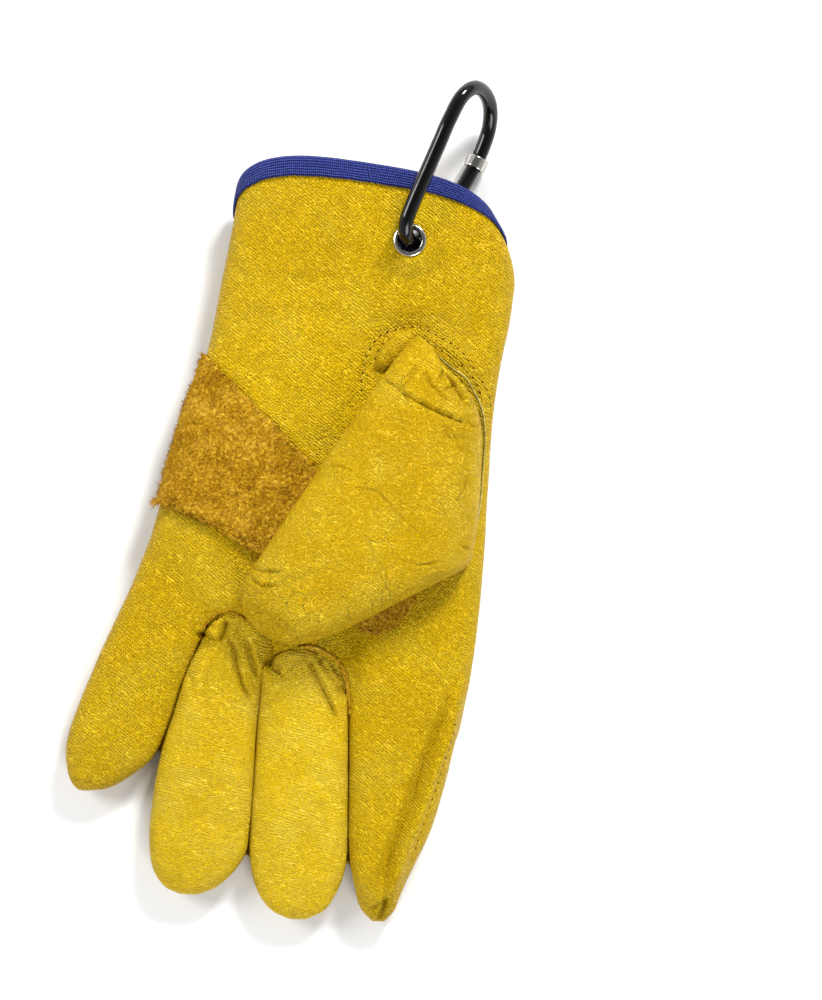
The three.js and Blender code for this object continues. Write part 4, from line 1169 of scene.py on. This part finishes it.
# %% Make the patch
PATCH_OUTLINE = np.array([
    (-58, 15.5), (-48, 14.5), (-31, 6.5), (-15.5, -2), (10.5, -18), (22, -29.5), (27, -31), (34.5, -27.5),
    (40, -20.5), (41, -14), (28, 3.5), (6.2, 27), (-33, 66.5), (-52, 74)]) + SHIFT[:2]
PATCH_LOW = 5.7  # height of its lower edge at the outer side
PATCH_LIFT, PATCH_WALL = 1.45, 1.1  # how far its face stands off the palm's, and its thickness
patch_bm = bmesh.new()
patch_bm.from_mesh(skins["palm_side"])
cut_along(patch_bm, np.vstack([PATCH_OUTLINE, PATCH_OUTLINE[:1]]), PATCH_LOW - 3, 60)
everything = patch_bm.verts[:] + patch_bm.edges[:] + patch_bm.faces[:]
bmesh.ops.bisect_plane(patch_bm, geom=everything, plane_co=(0, 0, PATCH_LOW), plane_no=(0, 0, 1),
                       clear_inner=True)
mids = np.array([f.calc_center_median() for f in patch_bm.faces])
kept = inside(PATCH_OUTLINE, mids[:, :2])
bmesh.ops.delete(patch_bm, geom=[f for f, keep in zip(patch_bm.faces, kept) if not keep], context="FACES")
bmesh.ops.subdivide_edges(patch_bm, edges=patch_bm.edges, cuts=1, use_grid_fill=True)
edge_points = np.array([v.is_boundary for v in patch_bm.verts])
patch = bpy.data.meshes.new("patch")
patch_bm.to_mesh(patch)
patch_bm.free()
points, normals = coordinates(patch), normals_of(patch)
nap = 0.22 * waviness(points, 1.1, 2.2) + 0.2 * waviness(points, 2.6, 7.1) + 0.15 * waviness(points, 9, 4.4)
points += normals * (PATCH_LIFT + nap - 0.25 * edge_points)[:, None]
fray = np.column_stack([waviness(points, 1.2, 1.5), waviness(points, 1.2, 9.5),
                        0.4 * waviness(points, 1.6, 6.5)])
points += fray * np.where(points[:, :1] < -35, 1.5, 0.9) * edge_points[:, None]
move_points(patch, points)
fray_at = points[edge_points & (points[:, 0] < -40)]
made = dressed("suede_palm_patch", patch, [patch_suede], ["palm_patch"], PATCH_WALL)
print(made.name, len(made.data.polygons), "faces")

# %% Nap and frayed edge
NAP_TUFTS, FRAY_TUFTS, BATCH = 4200, 420, 150  # tufts on the patch, at its edge, and made at a time
nap_fibre = suede("fibres_of_split_cowhide", "#8a5a04", "#c08c10", "#f0c860", nap=1.6)
luck = np.random.default_rng(12)


def fibres(name, starts, directions, lengths, width):
    """Thin cones, each one a tuft of fibre. They are made a few at a time, which is much faster than all at
    once."""
    batches, turned = [], list(zip(starts, directions, lengths))
    for first in range(0, len(turned), BATCH):
        made = bmesh.new()
        for start, direction, length in turned[first : first + BATCH]:
            turn = Vector((0, 0, 1)).rotation_difference(Vector(direction)).to_matrix().to_4x4()
            turn.translation = Vector(start) + Vector(direction).normalized() * length / 2
            bmesh.ops.create_cone(made, cap_ends=True, segments=3, radius1=width / 2, radius2=width / 8,
                                  depth=length, matrix=turn)
        batches.append(bpy.data.meshes.new("batch"))
        made.to_mesh(batches[-1])
        made.free()
    return joined(name, batches)


chosen = luck.choice(len(points), NAP_TUFTS, replace=False)
lying = luck.normal(size=(NAP_TUFTS, 3)) * (1, 1, 0.3) + normals[chosen] * 0.5
nap_roots = points[chosen] - normals[chosen] * 0.1
nap_mesh = fibres("nap", nap_roots, lying, luck.uniform(0.7, 1.9, NAP_TUFTS), 0.26)
made = dressed("suede_nap", nap_mesh, [nap_fibre], [])
print(made.name, len(made.data.polygons), "faces")
starts = fray_at[luck.integers(0, len(fray_at), FRAY_TUFTS)]
outward = luck.normal(size=(FRAY_TUFTS, 3)) * (0.5, 0.8, 0.4) + (-1, 0.3, -0.1)
fray_mesh = fibres("fray", starts, outward, luck.uniform(0.8, 2.6, FRAY_TUFTS), 0.3)
made = dressed("suede_frayed_edge", fray_mesh, [nap_fibre], [])
print(made.name, len(made.data.polygons), "faces")

# %% [markdown]
# ## Binding
# A woven tape is folded over the cuff's raw edge and sewn on. It follows the rim all the way round. Its
# section is a narrow U. The U is given once, and a grid carries it round the rim, so its UV map runs along
# and across the tape and the weave can follow it.

# %% Woven tape
# the tape's own length round the rim and width over the fold, in millimetres
TAPE_LENGTH, TAPE_GIRTH = 222.0, 17.0
RIB, PICK = 0.95, 0.7  # distance from rib to rib, and from thread to thread along the tape
TAPE_WALL = 0.6  # thickness of the tape


def woven_tape(name, dark, middle, light):
    """Ribbed polyester tape: deep blue, with a dull shine, whose threads show as rows of light flecks."""
    made, tree = blank_material(name)
    uv = add(tree, "ShaderNodeUVMap", uv_map="UVMap").outputs[0]
    sized = add(tree, "ShaderNodeVectorMath", {0: uv, 1: (TAPE_LENGTH, TAPE_GIRTH, 1)},
                operation="MULTIPLY").outputs[0]
    axes = add(tree, "ShaderNodeSeparateXYZ", {0: sized})
    ribs = add(tree, "ShaderNodeMath", {0: axes.outputs[1], 1: 2 * math.pi / RIB},
               operation="MULTIPLY").outputs[0]
    rib = add(tree, "ShaderNodeMath", {0: ribs}, operation="SINE").outputs[0]
    picks = add(tree, "ShaderNodeMath", {0: axes.outputs[0], 1: 2 * math.pi / PICK},
                operation="MULTIPLY").outputs[0]
    pick = add(tree, "ShaderNodeMath", {0: picks}, operation="SINE").outputs[0]
    weave = add(tree, "ShaderNodeMath", {0: rib, 1: pick}, operation="ADD").outputs[0]
    place = add(tree, "ShaderNodeTexCoord").outputs["Object"]
    lint = add(tree, "ShaderNodeTexNoise", {"Vector": place, "Scale": 900.0, "Detail": 4.0}).outputs["Fac"]
    high = add(tree, "ShaderNodeMath", {0: lint, 1: 1.6, 2: weave}, operation="MULTIPLY_ADD").outputs[0]
    low_mix = add(tree, "ShaderNodeMapRange", {"Value": high, 1: -0.8, 2: 1.0}).outputs[0]
    high_mix = add(tree, "ShaderNodeMapRange", {"Value": high, 1: 1.2, 2: 2.9}).outputs[0]
    deep = add(tree, "ShaderNodeMix", {0: low_mix, 6: linear(dark), 7: linear(middle)},
               data_type="RGBA").outputs[2]
    colour = add(tree, "ShaderNodeMix", {0: high_mix, 6: deep, 7: linear(light)}, data_type="RGBA").outputs[2]
    relief = add(tree, "ShaderNodeBump", {"Height": weave, "Distance": 0.00012, "Strength": 1.0})
    shader = add(tree, "ShaderNodeBsdfPrincipled", {
        "Base Color": colour, "Roughness": 0.6, "Specular IOR Level": 0.25, "Normal": relief.outputs[0]})
    add(tree, "ShaderNodeOutputMaterial", {"Surface": shader.outputs[0]})
    return made


blue_tape = woven_tape("blue_woven_tape", "#030834", "#0d1a66", "#5c70d8")

# %% Frames round the rim
DENSE = 1441  # places at which the rim's length is measured
dense_turn = np.linspace(0, FULL_TURN, DENSE)
dense_rim = hand_form(np.zeros(DENSE), dense_turn)
rim_length = np.concatenate([[0], np.cumsum(np.linalg.norm(np.diff(dense_rim, axis=0), axis=1))])


def rim_frame(u):
    """Places evenly spaced round the rim: turn, point, and the direction out of the cuff."""
    turn = np.interp(u * rim_length[-1], rim_length, dense_turn)
    here = hand_form(np.zeros(len(turn)), turn)
    tangent = hand_form(np.zeros(len(turn)), turn + 0.03) - hand_form(np.zeros(len(turn)), turn - 0.03)
    tangent /= np.linalg.norm(tangent, axis=1)[:, None]
    normal = outward_at(np.full(len(turn), 0.05), turn)
    away = np.cross(tangent, normal)
    away *= np.sign(away[:, 1:2])
    return turn, here, away / np.linalg.norm(away, axis=1)[:, None]


print("rim:", round(rim_length[-1]), "mm round")

# %% Fold the tape over the rim
# the U, from its outer edge over the fold to its inner: how far out of the cuff, how far off the leather's face
TAPE_SECTION = smooth_path([
    (-5.3, 0.3), (-5.0, 0.85), (-3.6, 1.1), (-1, 1.15), (0.9, 0.95), (1.75, 0.1), (1.9, -0.65), (1.75, -1.4),
    (0.9, -2.2), (-1, -2.4), (-3.6, -2.35), (-5.0, -2.1), (-5.3, -1.6)], 0.3)


def tape_form(u, v):
    turn, rim, away = rim_frame(u)
    steps = np.linspace(0, 1, len(TAPE_SECTION))
    out = np.interp(v, steps, TAPE_SECTION[:, 0])
    off = np.interp(v, steps, TAPE_SECTION[:, 1])
    around = np.column_stack([np.cos(u * FULL_TURN), np.sin(u * FULL_TURN), np.zeros(len(u))]) * 35
    out = out + 0.25 * waviness(around, 6, 1.2) * (out < -2)
    off = off + 0.12 * waviness(around, 4, 8.3) * np.sign(off + 0.65)
    row_length = np.linalg.norm(hand_form(np.ones(len(u)), turn) - rim, axis=1)
    t = np.maximum(-out, 0) / row_length
    outward = outward_at(np.maximum(t, 0.05), turn)
    return hand_form(t, turn) + away * np.maximum(out, 0)[:, None] + outward * off[:, None]


tape = rolled("tape", 620, len(TAPE_SECTION) - 1, tape_form, capped=False)
points = coordinates(tape)
points[:, 2] = np.maximum(points[:, 2], 0.0)
move_points(tape, points)
made = dressed("woven_cuff_binding", tape, [blue_tape], ["cuff_binding"], TAPE_WALL)
print(made.name, len(made.data.polygons), "faces")

# %% [markdown]
# ## Eyelet and ring
# The eyelet is spun from a profile, as a real one is pressed from sheet and rolled over. The ring is one bent
# wire under thick gloss enamel, and a short threaded sleeve of bright metal sits on it.


# %% Metals and enamel
def plain_metal(name, colour, roughness):
    """Plated steel: bright, with the faintest streaks from polishing."""
    made, tree = blank_material(name)
    place = add(tree, "ShaderNodeTexCoord").outputs["Object"]
    streaks = add(tree, "ShaderNodeTexNoise",
                  {"Vector": place, "Scale": 1200.0, "Detail": 3.0}).outputs["Fac"]
    gloss = add(tree, "ShaderNodeMapRange",
                {"Value": streaks, 1: 0.3, 2: 0.7, 3: roughness * 0.7, 4: roughness * 1.4})
    relief = add(tree, "ShaderNodeBump", {"Height": streaks, "Distance": 0.00001, "Strength": 0.5})
    shader = add(tree, "ShaderNodeBsdfPrincipled", {
        "Base Color": linear(colour), "Metallic": 1.0, "Roughness": gloss.outputs[0],
        "Normal": relief.outputs[0]})
    add(tree, "ShaderNodeOutputMaterial", {"Surface": shader.outputs[0]})
    return made


def gloss_enamel(name, colour):
    """Stoved enamel: black and wet-looking, with a trace of orange peel."""
    made, tree = blank_material(name)
    place = add(tree, "ShaderNodeTexCoord").outputs["Object"]
    peel = add(tree, "ShaderNodeTexNoise", {"Vector": place, "Scale": 500.0, "Detail": 2.0}).outputs["Fac"]
    relief = add(tree, "ShaderNodeBump", {"Height": peel, "Distance": 0.00002, "Strength": 0.6})
    gloss = add(tree, "ShaderNodeMapRange", {"Value": peel, 1: 0.3, 2: 0.7, 3: 0.07, 4: 0.16})
    shader = add(tree, "ShaderNodeBsdfPrincipled", {
        "Base Color": linear(colour), "Roughness": gloss.outputs[0], "Specular IOR Level": 0.4,
        "Normal": relief.outputs[0]})
    add(tree, "ShaderNodeOutputMaterial", {"Surface": shader.outputs[0]})
    return made


nickel = plain_metal("nickel_plated_steel", "#cfccc4", 0.16)
black_enamel = gloss_enamel("black_stove_enamel", "#070708")


# %% Spin the eyelet
def spun(name, profile, steps, centre, axis):
    """A closed profile of radius and height pairs spun round an axis."""
    made = bmesh.new()
    corners = [made.verts.new((r, 0, z)) for r, z in profile]
    edges = [made.edges.new(pair) for pair in zip(corners, corners[1:] + corners[:1])]
    bmesh.ops.spin(made, geom=corners + edges, cent=(0, 0, 0), axis=(0, 0, 1), angle=FULL_TURN, steps=steps,
                   use_merge=True)
    bmesh.ops.remove_doubles(made, verts=made.verts, dist=1e-4)
    bmesh.ops.recalc_face_normals(made, faces=made.faces)
    turn = Vector((0, 0, 1)).rotation_difference(Vector(axis)).to_matrix()
    bmesh.ops.rotate(made, verts=made.verts, cent=(0, 0, 0), matrix=turn)
    bmesh.ops.translate(made, verts=made.verts, vec=Vector(centre))
    mesh = bpy.data.meshes.new(name)
    made.to_mesh(mesh)
    made.free()
    return mesh


# radius and height of points round its section
EYELET_PROFILE = smooth_path([
    (3.8, 0.0), (3.82, 0.9), (4.1, 1.32), (4.65, 1.48), (5.25, 1.36), (5.62, 1.1), (5.68, 0.9), (5.4, 0.86),
    (4.75, 0.9), (4.32, 0.8), (4.3, 0.0), (4.32, -0.8), (4.75, -0.95), (5.15, -1.0), (5.25, -1.2),
    (5.0, -1.38), (4.3, -1.42), (3.9, -1.2), (3.82, -0.9)], 0.22, closed=True)[:-1]
eyelet = spun("eyelet", EYELET_PROFILE, 72, eyelet_centre, eyelet_axis)
made = dressed("nickel_eyelet", eyelet, [nickel], ["eyelet"])
print(made.name, len(made.data.polygons), "faces")

# %% Bend the ring's wire
# thickness of the wire, and angle of the ring's plane from upright in radians
RING_WIRE, RING_LEAN = 5.1, 0.5
# distance along the ring's straight side and across it; the first point is the one inside the eyelet
RING_SHAPE = [
    (-6, 8), (-4.6, 3.7), (-1, 0.8), (6, 0), (16, 0), (26, 0), (36.5, 0), (45.2, 1.5), (50, 6.2), (51, 13.5),
    (48.5, 21), (42.5, 26.4), (34, 28.2), (24, 27.4), (14, 24.6), (5, 20.6), (-1, 16.8), (-4.6, 12.5),
]


def centripetal_loop(corners, steps):
    """An evenly spaced loop through the corners that doesn't overshoot them."""
    corners = np.array(corners, float)
    dense = []
    for i in range(len(corners)):
        p = [corners[(i + k) % len(corners)] for k in (-1, 0, 1, 2)]
        d = [np.linalg.norm(b - a) ** 0.5 for a, b in zip(p, p[1:])]
        m1 = ((p[1] - p[0]) / d[0] - (p[2] - p[0]) / (d[0] + d[1]) + (p[2] - p[1]) / d[1]) * d[1]
        m2 = ((p[2] - p[1]) / d[1] - (p[3] - p[1]) / (d[1] + d[2]) + (p[3] - p[2]) / d[2]) * d[1]
        for f in np.linspace(0, 1, 20, endpoint=False)[:, None]:
            dense.append((2 * f**3 - 3 * f**2 + 1) * p[1] + (f**3 - 2 * f**2 + f) * m1
                         + (3 * f**2 - 2 * f**3) * p[2] + (f**3 - f**2) * m2)
    dense = np.array([d.ravel() for d in dense + dense[:1]])
    lengths = np.concatenate([[0], np.cumsum(np.linalg.norm(np.diff(dense, axis=0), axis=1))])
    places = np.linspace(0, lengths[-1], steps + 1)
    return np.stack([np.interp(places, lengths, dense[:, k]) for k in range(3)], 1)


down = np.cross(RING_ALONG, RING_ASIDE)
ring_across = RING_ASIDE * math.sin(RING_LEAN) + down * math.cos(RING_LEAN)
ring_corners = [eyelet_centre + RING_ALONG * (a - RING_SHAPE[0][0]) + ring_across * (b - RING_SHAPE[0][1])
                for a, b in RING_SHAPE]
RING_STEPS = 320
ring_path = centripetal_loop(ring_corners, RING_STEPS)
ring_flat = np.cross(RING_ALONG, ring_across)  # square to the plane that the ring lies in


def ring_form(u, v):
    steps = np.arange(RING_STEPS + 1) / RING_STEPS
    here = np.stack([np.interp(v, steps, ring_path[:, k]) for k in range(3)], 1)
    slopes = np.gradient(np.vstack([ring_path[-2:-1], ring_path, ring_path[1:2]]), axis=0)[1:-1]
    tangent = np.stack([np.interp(v, steps, slopes[:, k]) for k in range(3)], 1)
    tangent /= np.linalg.norm(tangent, axis=1)[:, None]
    side = np.cross(tangent, ring_flat)
    angle = (u * FULL_TURN)[:, None]
    return here + (np.cos(angle) * side + np.sin(angle) * ring_flat) * RING_WIRE / 2


ring = rolled("ring", 24, RING_STEPS, ring_form, capped=False)
made = dressed("enamelled_hang_ring", ring, [black_enamel], ["hang_ring"])
print(made.name, len(made.data.polygons), "faces")

# %% The ring's sleeve
SLEEVE_AT, SLEEVE_LENGTH = 0.7, 4.0  # its place as a share of the way round the ring, and its length
BORE, END, VALLEY, CREST = 3.05, 3.6, 3.5, 3.85  # radii of its inside, its ends and its thread
SAW_STEPS = 15
sleeve_index = int(SLEEVE_AT * RING_STEPS)
sleeve_axis = ring_path[sleeve_index + 2] - ring_path[sleeve_index - 2]
threads = []
half = SLEEVE_LENGTH / 2
for i in range(SAW_STEPS):  # a saw-tooth of fine threads on its outside
    z = -half + 0.25 + i * (SLEEVE_LENGTH - 0.5) / (SAW_STEPS - 1)
    threads.append((CREST if i % 2 else VALLEY, z))
sleeve_profile = [(BORE, -half), (END, -half), *threads, (END, half), (BORE, half)]
sleeve = spun("sleeve", sleeve_profile, 48, ring_path[sleeve_index],
              sleeve_axis / np.linalg.norm(sleeve_axis))
made = dressed("threaded_ring_collar", sleeve, [nickel], ["ring_collar"])
print(made.name, len(made.data.polygons), "faces")
